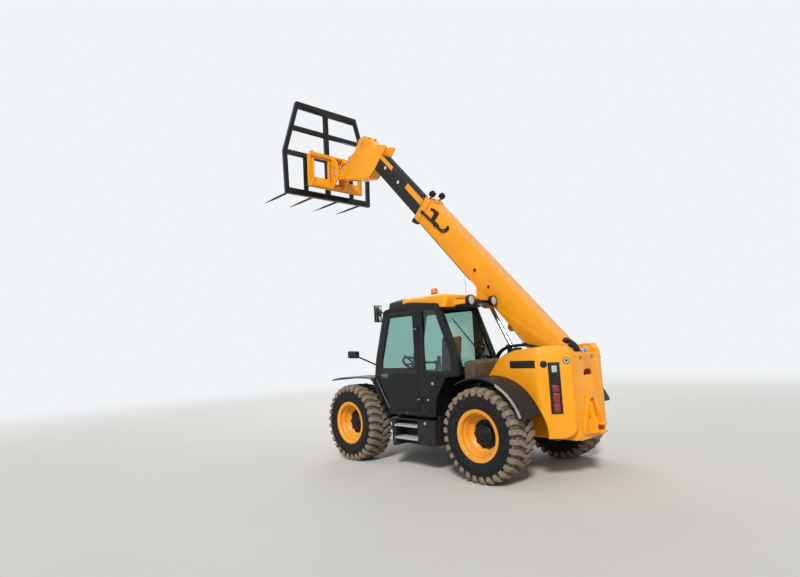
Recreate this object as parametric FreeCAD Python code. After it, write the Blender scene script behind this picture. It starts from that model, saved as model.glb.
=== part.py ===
import FreeCAD, Part
import math
import os

V = FreeCAD.Vector

# Telehandler with four steered wheels, millimetres.
# While it is drawn, X runs forward from the rear axle, Y to the cab side and Z up from the ground.
# Every piece is moved back at the end, so that the part's origin is on the ground
# under the middle of its length.

# Wheels and axles
WHEELBASE = 2750
WHEEL_Y = 945
KINGPIN_Y = 800
TYRE_R = 625
TYRE_W = 460
RIM_SEAT_R = 300
RIM_FLANGE_R = 345
RIM_W = 428
RIM_WALL = 9
HUB_R = 158
SPINDLE_R = 60
AXLE_TUBE_R = 82
AXLE_HEAD_R = 165
KNUCKLE_R = 92
KINGPIN_R = 25

# Chassis
REAR_X = -1010
FRAME_Y = 330
FRAME_T = 25
FRAME_TOP = 815
FRAME_BOTTOM = 450
FRONT_OVERHANG = 400
FRONT_X = WHEELBASE + FRONT_OVERHANG
TOWER_TOP = 1690
REAR_TOP = 1640
HITCH_REACH = 190

# Boom, measured along it (s) and square to it (n) from its pivot
PIVOT_X = -780
PIVOT_Z = 1580
PIVOT_PIN_R = 40
PIVOT_TUBE_R = 75
BOOM_ANGLE = 47.8
BOOM_Y = 160
BOOM_TOP = 120
BOOM_DEPTH = 420
BOOM_WALL = 10
BOOM_LENGTH = 3700
INNER_Y = 120
INNER_TOP = 30
INNER_DEPTH = 319.7
INNER_BACK = 1900
INNER_FRONT = 5300
TRAY_Y = 70
TRAY_T = 12
SLIDE_GAP = 0.3

# Rams
LIFT_BASE = (-360, 740)
LIFT_PIN = (1550, -400)
LEVEL_BASE = (-720, 980)
LEVEL_PIN = (950, -365)
TILT_BASE = (3330, 5960)
TILT_PIN = (4240, 5718)

# Carriage
CARRIAGE_X = 4220
CARRIAGE_Z = 5550
CARRIAGE_PIN_R = 35
PLATE_FRONT = 4450
PLATE_Y = 700
PLATE_BOTTOM = 5250
PLATE_TOP = 6000
HEADBOARD_X = 4640
HEADBOARD_T = 60
HEADBOARD_TOP = 7150
HEADBOARD_BOTTOM = 5100
TINE_LENGTH = 1100
TINE_R = 24

# Cab
CAB_LEFT = 1100
CAB_RIGHT = 200
CAB_WALL = 55
DOOR_REAR = 1065
DOOR_GAP = 6
GLASS_T = 8
ROOF_TOP = 2595
VISOR_X = 300

# Engine pod
POD_BACK = 800
POD_FRONT = WHEELBASE - 880
POD_INNER = 330
POD_OUTER = 1090
POD_BOTTOM = 470
POD_SPLIT = 930
POD_TOP = 1430
POD_WALL = 25

MOVE_CLEAR = 6
PIN_CLEAR = 0.3
SEAT_GAP = 0.3

# Fenders and tail: the arch is struck from the rear wheel's centre
FENDER_R = 740
FENDER_T = 14
FENDER_OUT = 1150
TAIL_Y = 720

# Hinges: where their pins stand, and where each hinge starts along its pin
DOOR_HINGE = (DOOR_REAR - 5, CAB_LEFT + 12)
DOOR_HINGE_Z = (1010, 2050)
DOOR_HINGE_R = 9
BONNET_HINGE = (-358, POD_TOP + 16)
BONNET_HINGE_X = (950, 1640)
BONNET_HINGE_R = 10

TINE_TIP_X = HEADBOARD_X + HEADBOARD_T + TINE_LENGTH
ORIGIN_X = (REAR_X - HITCH_REACH + TINE_TIP_X) / 2


# Drawing helpers

def upright(y):
    """Puts an outline's (x, z) points in the upright plane at this y."""
    return lambda a, b: V(a, y, b)


def level(z):
    """Puts an outline's (x, y) points in the level plane at this z."""
    return lambda a, b: V(a, b, z)


def across(x):
    """Puts an outline's (y, z) points in the plane square to X at this x."""
    return lambda a, b: V(x, a, b)


def outline(points, place):
    """Closed face from (a, b, corner radius) points, with each round corner an arc."""
    edges = []
    ends = []
    for i, (a, b, radius) in enumerate(points):
        here = V(a, b, 0)
        last = points[i - 1]
        after = points[(i + 1) % len(points)]
        back = (V(last[0], last[1], 0) - here).normalize()
        ahead = (V(after[0], after[1], 0) - here).normalize()
        if radius:
            half = back.getAngle(ahead) / 2
            cut = radius / math.tan(half)
            middle = here + (back + ahead).normalize() * (radius / math.sin(half) - radius)
            ends.append((here + back * cut, middle, here + ahead * cut))
        else:
            ends.append((here, None, here))
    for i, (start, middle, end) in enumerate(ends):
        if middle:
            arc = Part.Arc(place(start.x, start.y), place(middle.x, middle.y), place(end.x, end.y))
            edges.append(arc.toShape())
        following = ends[(i + 1) % len(ends)][0]
        if end.distanceToPoint(following) > 1e-6:
            edges.append(Part.LineSegment(place(end.x, end.y), place(following.x, following.y)).toShape())
    return Part.Face(Part.Wire(edges))


def shift_path(points, by, closed=True):
    """The same corners moved square to the path by this much, to the left of its direction."""
    count = len(points)
    moved = []
    for i, (a, b, radius) in enumerate(points):
        here = V(a, b, 0)
        last = V(points[i - 1][0], points[i - 1][1], 0)
        after = V(points[(i + 1) % count][0], points[(i + 1) % count][1], 0)
        into = (here - last).normalize()
        out = (after - here).normalize()
        if not closed and i == 0:
            into = out
        if not closed and i == count - 1:
            out = into
        left_in = V(-into.y, into.x, 0)
        left_out = V(-out.y, out.x, 0)
        middle = (left_in + left_out).normalize()
        corner = here + middle * (by / middle.dot(left_in))
        turn = into.x * out.y - into.y * out.x
        new_radius = max(radius - by * (1 if turn > 0 else -1), 0) if radius else 0
        moved.append((corner.x, corner.y, new_radius))
    return moved


def band(points, thickness):
    """Closed outline of a bent sheet that follows an open path, with its thickness to the left."""
    far = shift_path(points, thickness, closed=False)
    return points + far[::-1]


def slab(points, y_low, y_high):
    """Upright plate with an (x, z) outline between two y values."""
    return outline(points, upright(y_low)).extrude(V(0, y_high - y_low, 0))


def deck(points, z_low, z_high):
    """Level plate with an (x, y) outline between two heights."""
    return outline(points, level(z_low)).extrude(V(0, 0, z_high - z_low))


def wall(points, x_low, x_high):
    """Plate square to X with a (y, z) outline between two x values."""
    return outline(points, across(x_low)).extrude(V(x_high - x_low, 0, 0))


def box(x, y, z):
    """Block between two x, two y and two z values."""
    return Part.makeBox(x[1] - x[0], y[1] - y[0], z[1] - z[0], V(x[0], y[0], z[0]))


def rod(start, end, radius):
    """Round bar between two points."""
    start = V(*start)
    run = V(*end) - start
    return Part.makeCylinder(radius, run.Length, start, run)


def turned(points, centre, axis_y=1):
    """Solid of revolution about Y; points are (distance out along Y, radius, corner radius)."""
    face = outline(points, lambda a, b: V(b, axis_y * a, 0))
    shape = face.revolve(V(0, 0, 0), V(0, 1, 0), 360)
    shape.translate(V(*centre))
    return shape


def mirrored(shape):
    """The same shape on the other side of the middle plane."""
    return shape.mirror(V(0, 0, 0), V(0, 1, 0))


def both(shape):
    return [shape, mirrored(shape)]


def fused(shapes):
    """One shape from pieces that touch or overlap."""
    return shapes[0].multiFuse(shapes[1:]).removeSplitter()


def on_boom(shape):
    """Takes a shape drawn along X from the origin to its place on the raised boom."""
    shape = shape.copy()
    shape.rotate(V(0, 0, 0), V(0, 1, 0), -BOOM_ANGLE)
    shape.translate(V(PIVOT_X, 0, PIVOT_Z))
    return shape


def boom_point(s, n):
    """(x, z) of a place on the boom."""
    angle = math.radians(BOOM_ANGLE)
    x = PIVOT_X + s * math.cos(angle) - n * math.sin(angle)
    z = PIVOT_Z + s * math.sin(angle) + n * math.cos(angle)
    return x, z


def save(name, *shapes):
    """Writes one piece, moved to the part's origin."""
    solids = [solid for shape in shapes for solid in shape.Solids]
    for solid in solids:
        if not solid.isValid() or solid.Volume <= 0:
            print("bad solid in", name)
    shape = solids[0] if len(solids) == 1 else Part.Compound(solids)
    shape = shape.copy()
    shape.translate(V(-ORIGIN_X, 0, 0))
    shape.exportStep("parts/" + name + ".step")


# Chassis

def chassis_frame():
    """Two long side plates that rise into a tower at the boom pivot, tied by cross plates."""
    inner = FRAME_Y - FRAME_T
    axle_clear = 130
    axle_seat = 740
    side = [
        # x, z, corner radius
        (REAR_X, 520, 60), (REAR_X, TOWER_TOP, 50), (-600, TOWER_TOP, 140), (-150, 1150, 150),
        (250, FRAME_TOP, 120), (WHEELBASE - 500, FRAME_TOP, 80), (WHEELBASE - 350, 930, 80),
        (FRONT_X, 930, 60),
        (FRONT_X, 560, 50), (WHEELBASE + axle_clear + 30, 560, 30),
        (WHEELBASE + axle_clear, axle_seat, 30), (WHEELBASE - axle_clear, axle_seat, 30),
        (WHEELBASE - axle_clear - 30, FRAME_BOTTOM, 40), (axle_clear + 60, FRAME_BOTTOM, 40),
        (axle_clear, axle_seat, 30), (-axle_clear, axle_seat, 30), (-axle_clear - 30, 520, 40),
    ]
    pieces = both(slab(side, inner, FRAME_Y))

    rear_face = [(-inner, 520, 0), (inner, 520, 0), (inner, REAR_TOP, 60), (-inner, REAR_TOP, 60)]
    rear = wall(rear_face, REAR_X, REAR_X + FRAME_T)
    arch = [(-115, 1340, 0), (115, 1340, 0), (115, 1420, 70), (-115, 1420, 70)]
    rear = rear.cut(wall(arch, REAR_X - 1, REAR_X + FRAME_T + 1))
    for y in (-150, 150):
        rear = rear.cut(rod((REAR_X - 1, y, 1565), (REAR_X + FRAME_T + 1, y, 1565), 30))
    weight = box((REAR_X + FRAME_T, -560), (-inner, inner), (520, 760))
    belly = box((260, WHEELBASE - 230), (-inner, inner), (FRAME_BOTTOM, FRAME_BOTTOM + 20))
    nose_plate = box((FRONT_X - 90, FRONT_X - 65), (-inner, inner), (560, 765))
    deck_end = WHEELBASE + 190
    front_deck = box((WHEELBASE - 330, deck_end), (-inner, inner), (905, 930))
    # Apron that slopes away under the lowered nose
    apron = slab([(deck_end, 905, 0), (FRONT_X - 90, 740, 0), (FRONT_X - 65, 740, 0), (FRONT_X - 65, 765, 0),
                  (deck_end, 930, 0)], -inner, inner)
    mid_deck = box((1050, WHEELBASE - 550), (-inner, inner), (FRAME_TOP - 20, FRAME_TOP))
    pieces += [rear, weight, belly, nose_plate, front_deck, apron, mid_deck]

    # Pins that the boom and the two rams turn on
    for x, z, radius in ((PIVOT_X, PIVOT_Z, PIVOT_PIN_R), (*LIFT_BASE, 32), (*LEVEL_BASE, 26)):
        pieces.append(rod((x, -FRAME_Y, z), (x, FRAME_Y, z), radius))

    # Arms under the cab, and posts that carry the front fenders
    for x in (805, 1652):
        pieces.append(box((x, x + 55), (FRAME_Y, 1000), (FRAME_TOP - 55, FRAME_TOP)))
    post_x = (WHEELBASE - 25, WHEELBASE + 25)
    post = box(post_x, (FRAME_Y, 400), (800, 1361))
    pieces += both(post.fuse(box(post_x, (FRAME_Y, 660), (1315, 1361))))

    # Lashing eye at the front, with an upright bore
    eye = deck([(FRONT_X - 66, -60, 0), (FRONT_X + 50, -45, 30), (FRONT_X + 50, 45, 30),
                (FRONT_X - 66, 60, 0)], 668, 692)
    eye = eye.cut(rod((FRONT_X + 10, 0, 660), (FRONT_X + 10, 0, 700), 25))
    pieces.append(eye)
    return fused(pieces)


def tow_hitch():
    """Clevis with a drop pin bore, between two cheeks on an A-shaped frame behind the rear plate."""
    back = REAR_X
    legs = [(-240, 590, 20), (240, 590, 20), (240, 690, 40), (75, 1150, 40), (-75, 1150, 40), (-240, 690, 40)]
    base = wall(legs, back - 30, back)
    gap = [(-125, 770, 20), (125, 770, 20), (45, 1030, 25), (-45, 1030, 25)]
    base = base.cut(wall(gap, back - 31, back + 1))
    jaw_outline = [(back - 30, -70, 0), (back - 30, 70, 0), (back - HITCH_REACH, 60, 50),
                   (back - HITCH_REACH, -60, 50)]
    jaws = []
    for z in (600, 700):
        jaws.append(deck(jaw_outline, z, z + 28))
    cheeks = []
    for side in (-1, 1):
        cheek = [(back - 30, 590, 0), (back - 30, 990, 0), (back - 60, 960, 15), (back - 120, 740, 20),
                 (back - 120, 592, 15)]
        cheeks.append(slab(cheek, min(side * 70, side * 95), max(side * 70, side * 95)))
    whole = fused([base] + jaws + cheeks)
    return whole.cut(rod((back - 135, 0, 500), (back - 135, 0, 800), 16))


def axle(x):
    """Drive head, two tubes and a fork at each end that holds the steering swivel."""
    z = TYRE_R
    head = turned([(0, 0, 0), (150, 0, 0), (150, 90, 20), (95, AXLE_HEAD_R, 60), (-95, AXLE_HEAD_R, 60),
                   (-150, 90, 20), (-150, 0, 0)], (x, 0, z))
    web_out = KINGPIN_Y - KNUCKLE_R - MOVE_CLEAR
    tube = rod((x, -web_out + 10, z), (x, web_out - 10, z), AXLE_TUBE_R)
    pads = both(box((x - 90, x + 90), (FRAME_Y - 45, FRAME_Y + 20), (z, 740)))
    ends = []
    web = box((x - 75, x + 75), (web_out - 50, web_out), (z - 165, z + 165))
    arm_outline = [(x - 75, web_out - 50, 0), (x + 75, web_out - 50, 0),
                   (x + 70, KINGPIN_Y + 68, 66), (x - 70, KINGPIN_Y + 68, 66)]
    swivel_top = 120 + MOVE_CLEAR
    for low, high in ((swivel_top, 165), (-165, -swivel_top)):
        ends.append(deck(arm_outline, z + low, z + high))
    for inner_end, outer_end in ((100, 150), (-100, -150)):
        ends.append(rod((x, KINGPIN_Y, z + inner_end), (x, KINGPIN_Y, z + outer_end), KINGPIN_R))
    end = fused([web] + ends)
    return fused([head, tube] + pads + both(end))


def knuckle(x, side):
    """Steering swivel between the fork's arms, with the spindle that carries the wheel."""
    z = TYRE_R
    body = rod((x, KINGPIN_Y, z - 120), (x, KINGPIN_Y, z + 120), KNUCKLE_R)
    carrier = turned([(40, 0, 0), (118, 0, 0), (118, 120, 0), (85, 120, 0), (60, 78, 0), (40, 78, 0)],
                     (x, KINGPIN_Y, z))
    spindle = rod((x, KINGPIN_Y + 100, z), (x, WHEEL_Y + 55, z), SPINDLE_R)
    shape = fused([body, carrier, spindle])
    for z_end in (-121, 121):
        socket = rod((x, KINGPIN_Y, z + z_end), (x, KINGPIN_Y, z + z_end * 0.8), KINGPIN_R + PIN_CLEAR)
        shape = shape.cut(socket)
    return shape if side > 0 else mirrored(shape)


def rim(x, side):
    """Deep-dished wheel: flanged barrel, recessed disc and the planetary hub bolted to it."""
    half = RIM_W / 2
    well = RIM_SEAT_R - 28
    barrel_path = [
        # distance out along the axle, radius, corner radius
        (half, RIM_FLANGE_R, 0), (half - 6, RIM_SEAT_R, 10), (half - 60, RIM_SEAT_R - 4, 12),
        (half - 90, well, 12), (-half + 90, well, 12), (-half + 60, RIM_SEAT_R - 4, 12),
        (-half + 6, RIM_SEAT_R, 10), (-half, RIM_FLANGE_R, 0),
    ]
    barrel = turned(band(barrel_path, RIM_WALL), (x, WHEEL_Y, TYRE_R))
    disc_path = [(150, well + 20, 0), (60, 250, 60), (14, 200, 30), (10, HUB_R - 20, 0)]
    disc = turned(band(disc_path, 12), (x, WHEEL_Y, TYRE_R))
    hub = turned([(-18, SPINDLE_R + PIN_CLEAR, 0), (-18, HUB_R - 4, 6), (24, HUB_R, 0), (40, HUB_R - 14, 8),
                  (84, HUB_R - 34, 16), (92, 74, 6), (112, 70, 10), (112, 0, 0), (56, 0, 0),
                  (56, SPINDLE_R + PIN_CLEAR, 0)], (x, WHEEL_Y, TYRE_R))
    shape = fused([barrel, disc, hub])
    return shape if side > 0 else mirrored(shape)


def tyre(x, side):
    """Tyre from bead to lug tips."""
    half = TYRE_W / 2
    bead = RIM_W / 2 - RIM_WALL - 1
    profile = [
        (bead, RIM_SEAT_R + 1, 0), (bead, RIM_FLANGE_R - 6, 0), (half, RIM_FLANGE_R + 70, 40),
        (half - 4, TYRE_R - 70, 40), (half - 50, TYRE_R - 4, 40), (0, TYRE_R, 0),
        (-half + 50, TYRE_R - 4, 40), (-half + 4, TYRE_R - 70, 40), (-half, RIM_FLANGE_R + 70, 40),
        (-bead, RIM_FLANGE_R - 6, 0), (-bead, RIM_SEAT_R + 1, 0),
    ]
    shape = turned(profile, (x, WHEEL_Y, TYRE_R))
    return shape if side > 0 else mirrored(shape)


# Boom

def outer_boom():
    """Box boom on its pivot tube, with the collar at its mouth and the lugs for two rams."""
    bottom = BOOM_TOP - BOOM_DEPTH
    side = [
        (BOOM_LENGTH, BOOM_TOP, 0), (-40, BOOM_TOP, 60), (-150, 75, 50), (-165, -60, 70),
        (-20, -175, 60), (240, bottom, 60), (BOOM_LENGTH, bottom, 0),
    ]
    tube = slab(side, -BOOM_Y, BOOM_Y)
    hollow_y = BOOM_Y - BOOM_WALL
    hollow = box((-400, BOOM_LENGTH + 1), (-hollow_y, hollow_y), (bottom + BOOM_WALL, BOOM_TOP - BOOM_WALL))
    tube = tube.cut(hollow)

    # Collar round the mouth, down to the inner boom with a sliding gap
    grow = 12
    collar = box((BOOM_LENGTH - 150, BOOM_LENGTH), (-BOOM_Y - grow, BOOM_Y + grow),
                 (bottom - grow, BOOM_TOP + grow))
    inner_bottom = INNER_TOP - INNER_DEPTH
    mouth_x = (BOOM_LENGTH - 200, BOOM_LENGTH + 1)
    mouth = box(mouth_x, (-INNER_Y - SLIDE_GAP, INNER_Y + SLIDE_GAP),
                (inner_bottom - SLIDE_GAP, INNER_TOP + SLIDE_GAP))
    tray_slot = box(mouth_x, (-TRAY_Y - MOVE_CLEAR, TRAY_Y + MOVE_CLEAR),
                    (INNER_TOP, INNER_TOP + TRAY_T + MOVE_CLEAR))
    collar = collar.cut(mouth).cut(tray_slot)

    pivot_tube = rod((0, -FRAME_Y + FRAME_T + MOVE_CLEAR, 0), (0, FRAME_Y - FRAME_T - MOVE_CLEAR, 0),
                     PIVOT_TUBE_R)
    pieces = [tube, collar, pivot_tube]

    # Lift ram lug: the side walls carried down, with a boss each side of the ram's eye
    s, n = LIFT_PIN
    lug = [(s - 230, bottom + 5, 0), (s - 90, n - 50, 60), (s + 90, n - 50, 60), (s + 260, bottom + 5, 0)]
    pieces += both(slab(lug, BOOM_Y - 25, BOOM_Y))
    pieces += both(rod((s, RAM_EYE_HALF + 3, n), (s, BOOM_Y + 14, n), 44))

    s, n = LEVEL_PIN
    lug = [(s - 90, bottom + 5, 0), (s - 45, n - 45, 40), (s + 45, n - 45, 40), (s + 90, bottom + 5, 0)]
    pieces += both(slab(lug, RAM_EYE_HALF + 3, RAM_EYE_HALF + 25))
    whole = fused(pieces)
    whole = whole.cut(rod((0, -BOOM_Y * 2, 0), (0, BOOM_Y * 2, 0), PIVOT_PIN_R + PIN_CLEAR))
    return on_boom(whole)


def boom_fittings():
    """Pipe guard under the boom, lamp brackets on its front end and the hose clamp on its side."""
    bottom = BOOM_TOP - BOOM_DEPTH
    guard = box((1980, BOOM_LENGTH - 160), (70, BOOM_Y), (bottom - 12, bottom))
    lip = slab([(BOOM_LENGTH - 150, bottom - 12, 0), (BOOM_LENGTH - 150, bottom - 60, 30),
                (BOOM_LENGTH - 40, bottom - 95, 20), (BOOM_LENGTH, bottom - 95, 10), (BOOM_LENGTH, bottom - 12, 0)],
               BOOM_Y - 40, BOOM_Y + 12)
    pieces = [guard, lip]
    # s, n, radius of each boss on the left side
    for s, n, radius in ((2000, -120, 26), (1620, -134, 20)):
        pieces.append(rod((s, BOOM_Y, n), (s, BOOM_Y + 14, n), radius))
    lamp_top = BOOM_TOP + 12
    # s, y of each lamp on the collar
    for s, y in ((BOOM_LENGTH - 60, 120), (BOOM_LENGTH - 60, -120)):
        stalk = rod((s, y, lamp_top), (s, y, lamp_top + 60), 12)
        head = turned([(0, 0, 0), (62, 0, 0), (62, 55, 6), (10, 48, 10), (0, 30, 0)], (0, 0, 0))
        head.rotate(V(0, 0, 0), V(0, 0, 1), -90)
        head.translate(V(s - 30, y, lamp_top + 95))
        pieces.append(fused([stalk, head]))
    clamp = slab([(3100, -60, 20), (3100, -110, 20), (3330, -110, 30), (3330, 40, 20), (3400, 40, 10),
                  (3400, 85, 10), (3285, 85, 20), (3285, -60, 30)], BOOM_Y, BOOM_Y + 24)
    pieces.append(clamp)
    return [on_boom(piece) for piece in pieces]


def inner_boom():
    """Sliding boom section, with the wear pads at its back end."""
    bottom = INNER_TOP - INNER_DEPTH
    section = box((INNER_BACK, INNER_FRONT), (-INNER_Y, INNER_Y), (bottom, INNER_TOP))
    gap = BOOM_WALL + SLIDE_GAP
    pads = box((INNER_BACK, INNER_BACK + 80), (-BOOM_Y + gap, BOOM_Y - gap),
               (BOOM_TOP - BOOM_DEPTH + gap, BOOM_TOP - gap))
    hollow = box((INNER_BACK - 1, INNER_FRONT + 1), (-INNER_Y + 10, INNER_Y - 10),
                 (bottom + 10, INNER_TOP - 10))
    return on_boom(fused([section, pads]).cut(hollow))


def boom_nose():
    """Gooseneck that bends down from the boom's end to the carriage pin, made of two cheeks."""
    top = boom_point(INNER_FRONT, INNER_TOP)
    low = boom_point(INNER_FRONT, INNER_TOP - INNER_DEPTH)
    cx, cz = CARRIAGE_X, CARRIAGE_Z
    crown = [(2990, 5795, 40), (3185, 6035, 50), (3420, 6065, 50)]
    heel = [(3480, 5232, 120), (3190, 5186, 80)]
    cheek = [(*top, 0), (2600, 5670, 30)] + crown + [
        (3560, 5880, 150), (cx - 260, cz + 42, 120), (cx + 90, cz + 92, 88), (cx + 90, cz - 92, 88),
        (4000, 5380, 60)] + heel + [(*low, 0)]
    cheeks = both(slab(cheek, INNER_Y - 20, INNER_Y))
    web_y = INNER_Y - 20
    roof_path = [(*crown[0][:2], 0), crown[1], (*crown[2][:2], 0)]
    roof = slab(band(roof_path, -20), -web_y, web_y)
    floor = slab(band([(*low, 0)] + heel[::-1] + [(cx - 150, 5442, 0)], 20), -web_y, web_y)
    across_end = slab(band([(*top, 0), (*low, 0)], 20), -web_y, web_y)
    boss = rod((cx, -INNER_Y, cz), (cx, INNER_Y, cz), 82)
    bx, bz = TILT_BASE
    tilt_pins = both(rod((bx, RAM_EYE_HALF, bz), (bx, INNER_Y + 12, bz), 30))
    shape = fused(cheeks + [roof, floor, across_end, boss] + tilt_pins)
    shape = shape.cut(on_boom(box((INNER_BACK, INNER_FRONT), (-200, 200), (-400, INNER_TOP))))
    return shape.cut(rod((cx, -INNER_Y - 1, cz), (cx, INNER_Y + 1, cz), CARRIAGE_PIN_R + PIN_CLEAR))


def hose_tray():
    """Pipe pack along the top of the sliding boom."""
    tray = box((3900, INNER_FRONT - 60), (-TRAY_Y, TRAY_Y), (INNER_TOP, INNER_TOP + TRAY_T))
    return on_boom(tray)


# Rams

RAM_EYE_HALF = 42


def ram_barrel(base, length, radius, eye_r, pin_r):
    """Tube with a closed end, a gland and an eye that turns on its pin; drawn along X."""
    eye = rod((0, -RAM_EYE_HALF, 0), (0, RAM_EYE_HALF, 0), eye_r)
    body = rod((pin_r + 8, 0, 0), (length, 0, 0), radius)
    gland = rod((length - 70, 0, 0), (length, 0, 0), radius + 8)
    shape = fused([eye, body, gland])
    if pin_r:
        shape = shape.cut(rod((0, -RAM_EYE_HALF - 1, 0), (0, RAM_EYE_HALF + 1, 0), pin_r + PIN_CLEAR))
    return shape


def ram_rod(length, inside, radius, eye_r):
    """Bright rod with a plain eye at its end; drawn along X with the eye's centre at this length."""
    eye = rod((length, -RAM_EYE_HALF, 0), (length, RAM_EYE_HALF, 0), eye_r)
    return fused([rod((length - inside, 0, 0), (length, 0, 0), radius), eye])


def ram(base, pin, barrel_length, barrel_r, rod_length, rod_r, eye_r, pin_r):
    """Both halves of a ram between two (x, z) points, the rod sliding in the barrel's bore."""
    run = V(pin[0] - base[0], 0, pin[1] - base[1])
    slope = math.degrees(math.atan2(run.z, run.x))
    barrel = ram_barrel(base, barrel_length, barrel_r, eye_r, pin_r)
    bore = rod((pin_r + 60, 0, 0), (barrel_length + 1, 0, 0), rod_r + PIN_CLEAR)
    barrel = barrel.cut(bore)
    piston = ram_rod(run.Length, rod_length, rod_r, eye_r * 0.75)
    placed = []
    for shape in (barrel, piston):
        shape.rotate(V(0, 0, 0), V(0, 1, 0), -slope)
        shape.translate(V(base[0], 0, base[1]))
        placed.append(shape)
    return placed


# Carriage and fork frame

def carriage():
    """Quick-hitch frame: lever plates on the boom's pin, two tubes, end plates and top hooks."""
    cx, cz = CARRIAGE_X, CARRIAGE_Z
    tx, tz = TILT_PIN
    face = PLATE_FRONT - 50
    lever = [
        (cx - 95, cz - 95, 88), (face - 60, PLATE_BOTTOM + 10, 40), (face + 2, PLATE_BOTTOM + 10, 0),
        (face + 2, PLATE_TOP - 40, 0), (face - 70, PLATE_TOP - 40, 40), (tx - 75, tz + 75, 70),
        (cx - 95, cz + 60, 60),
    ]
    lever_in = INNER_Y + MOVE_CLEAR
    pieces = both(slab(lever, lever_in, lever_in + 25))
    plate = [
        (-PLATE_Y, PLATE_BOTTOM, 40), (PLATE_Y, PLATE_BOTTOM, 40), (PLATE_Y, PLATE_TOP - 60, 60),
        (PLATE_Y - 90, PLATE_TOP, 40), (-PLATE_Y + 90, PLATE_TOP, 40), (-PLATE_Y, PLATE_TOP - 60, 60),
    ]
    frame = wall(plate, face, PLATE_FRONT)
    window = [(200, 5470, 30), (600, 5470, 30), (600, 5890, 30), (200, 5890, 30)]
    for hole in both(wall(window, face - 1, PLATE_FRONT + 1)):
        frame = frame.cut(hole)
    slot = wall([(-90, 5400, 30), (90, 5400, 30), (90, 5880, 30), (-90, 5880, 30)],
                face - 1, PLATE_FRONT + 1)
    frame = frame.cut(slot)
    pieces.append(frame)
    for z in (PLATE_BOTTOM + 55, PLATE_TOP - 55):
        pieces.append(box((face - 45, face), (-PLATE_Y + 40, PLATE_Y - 40), (z - 40, z + 40)))
    pin_y = lever_in + 40
    pieces.append(rod((cx, -pin_y, cz), (cx, pin_y, cz), CARRIAGE_PIN_R))
    pieces += both(rod((tx, RAM_EYE_HALF + 3, tz), (tx, pin_y, tz), 26))
    hook = [(face, PLATE_TOP - 80, 0), (face, PLATE_TOP + 40, 30), (PLATE_FRONT + 90, PLATE_TOP + 60, 30),
            (PLATE_FRONT + 90, PLATE_TOP + 5, 15), (PLATE_FRONT + 10, PLATE_TOP - 10, 20),
            (PLATE_FRONT, PLATE_TOP - 80, 0)]
    pieces += both(slab(hook, 560, 590))
    return fused(pieces)


def headboard():
    """Tall black bale frame, as one welded ring with cross bars and the brackets behind it."""
    x0 = HEADBOARD_X
    x1 = HEADBOARD_X + HEADBOARD_T
    top = HEADBOARD_TOP
    low = HEADBOARD_BOTTOM
    edge = [(-1110, low, 20), (1110, low, 20), (1140, 6000, 0), (800, top, 30), (-800, top, 30),
            (-1140, 6000, 0)]
    ring = wall(edge, x0, x1).cut(wall(shift_path(edge, 90), x0 - 1, x1 + 1))
    pieces = [ring]
    # y from, y to, z from, z to of each bar inside the ring
    bars = ((-1080, 1080, low + 10, low + 130), (-1090, 1090, 5940, 6040), (-920, 920, 6500, 6600),
            (-800, 800, top - 150, top - 10), (-15, 95, low + 20, top - 20),
            (-640, -560, low + 20, 6000), (560, 640, low + 20, 6000))
    for y0, y1, z0, z1 in bars:
        pieces.append(box((x0, x1), (y0, y1), (z0, z1)))
    ring_and_bars = fused(pieces)
    ring_and_bars = ring_and_bars.common(wall(edge, x0, x1))
    brackets = []
    for y in (-600, 600):
        for z0, z1 in ((5300, 5420), (5780, 5900)):
            brackets.append(box((PLATE_FRONT, x0), (y - 28, y + 28), (z0, z1)))
    return fused([ring_and_bars] + brackets)


def tines():
    """Tapered bale spikes, each with a shoulder that sits on the bottom bar."""
    x = HEADBOARD_X + HEADBOARD_T
    z = HEADBOARD_BOTTOM + 70
    spikes = []
    for y in (-960, -330, 330, 960):
        profile = [(0, 0, 0), (0, 36, 0), (30, 36, 5), (34, TINE_R, 0), (700, TINE_R - 2, 0),
                   (TINE_LENGTH - 8, 5, 0), (TINE_LENGTH, 0, 0)]
        face = outline(profile, lambda a, b: V(x + a, y, z + b))
        spikes.append(face.revolve(V(x, y, z), V(1, 0, 0), 360))
    return spikes


# Cab

CAB_SIDE = [
    # x, z, corner radius, going round with the inside on the left
    (800, 815, 20), (1750, 815, 20), (1790, 900, 60), (2114, 1330, 60), (2060, 1660, 300),
    (1815, 2430, 80), (1250, 2510, 600), (640, 2440, 60), (330, 1660, 200), (290, 1400, 20),
    (560, 1382, 60), (760, 1080, 80),
]
DOOR_OPENING = [
    (DOOR_REAR, 870, 20), (1740, 870, 30), (2045, 1320, 60), (1995, 1660, 300), (1765, 2385, 50),
    (DOOR_REAR, 2385, 40),
]
QUARTER_WINDOW = [(430, 1450, 40), (DOOR_REAR - 75, 1450, 40), (DOOR_REAR - 75, 2380, 40), (690, 2365, 60),
                  (420, 1680, 200)]
SIDE_WINDOW = [(700, 1180, 60), (1650, 1180, 60), (1960, 1500, 120), (1740, 2370, 60), (700, 2360, 60)]


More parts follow.
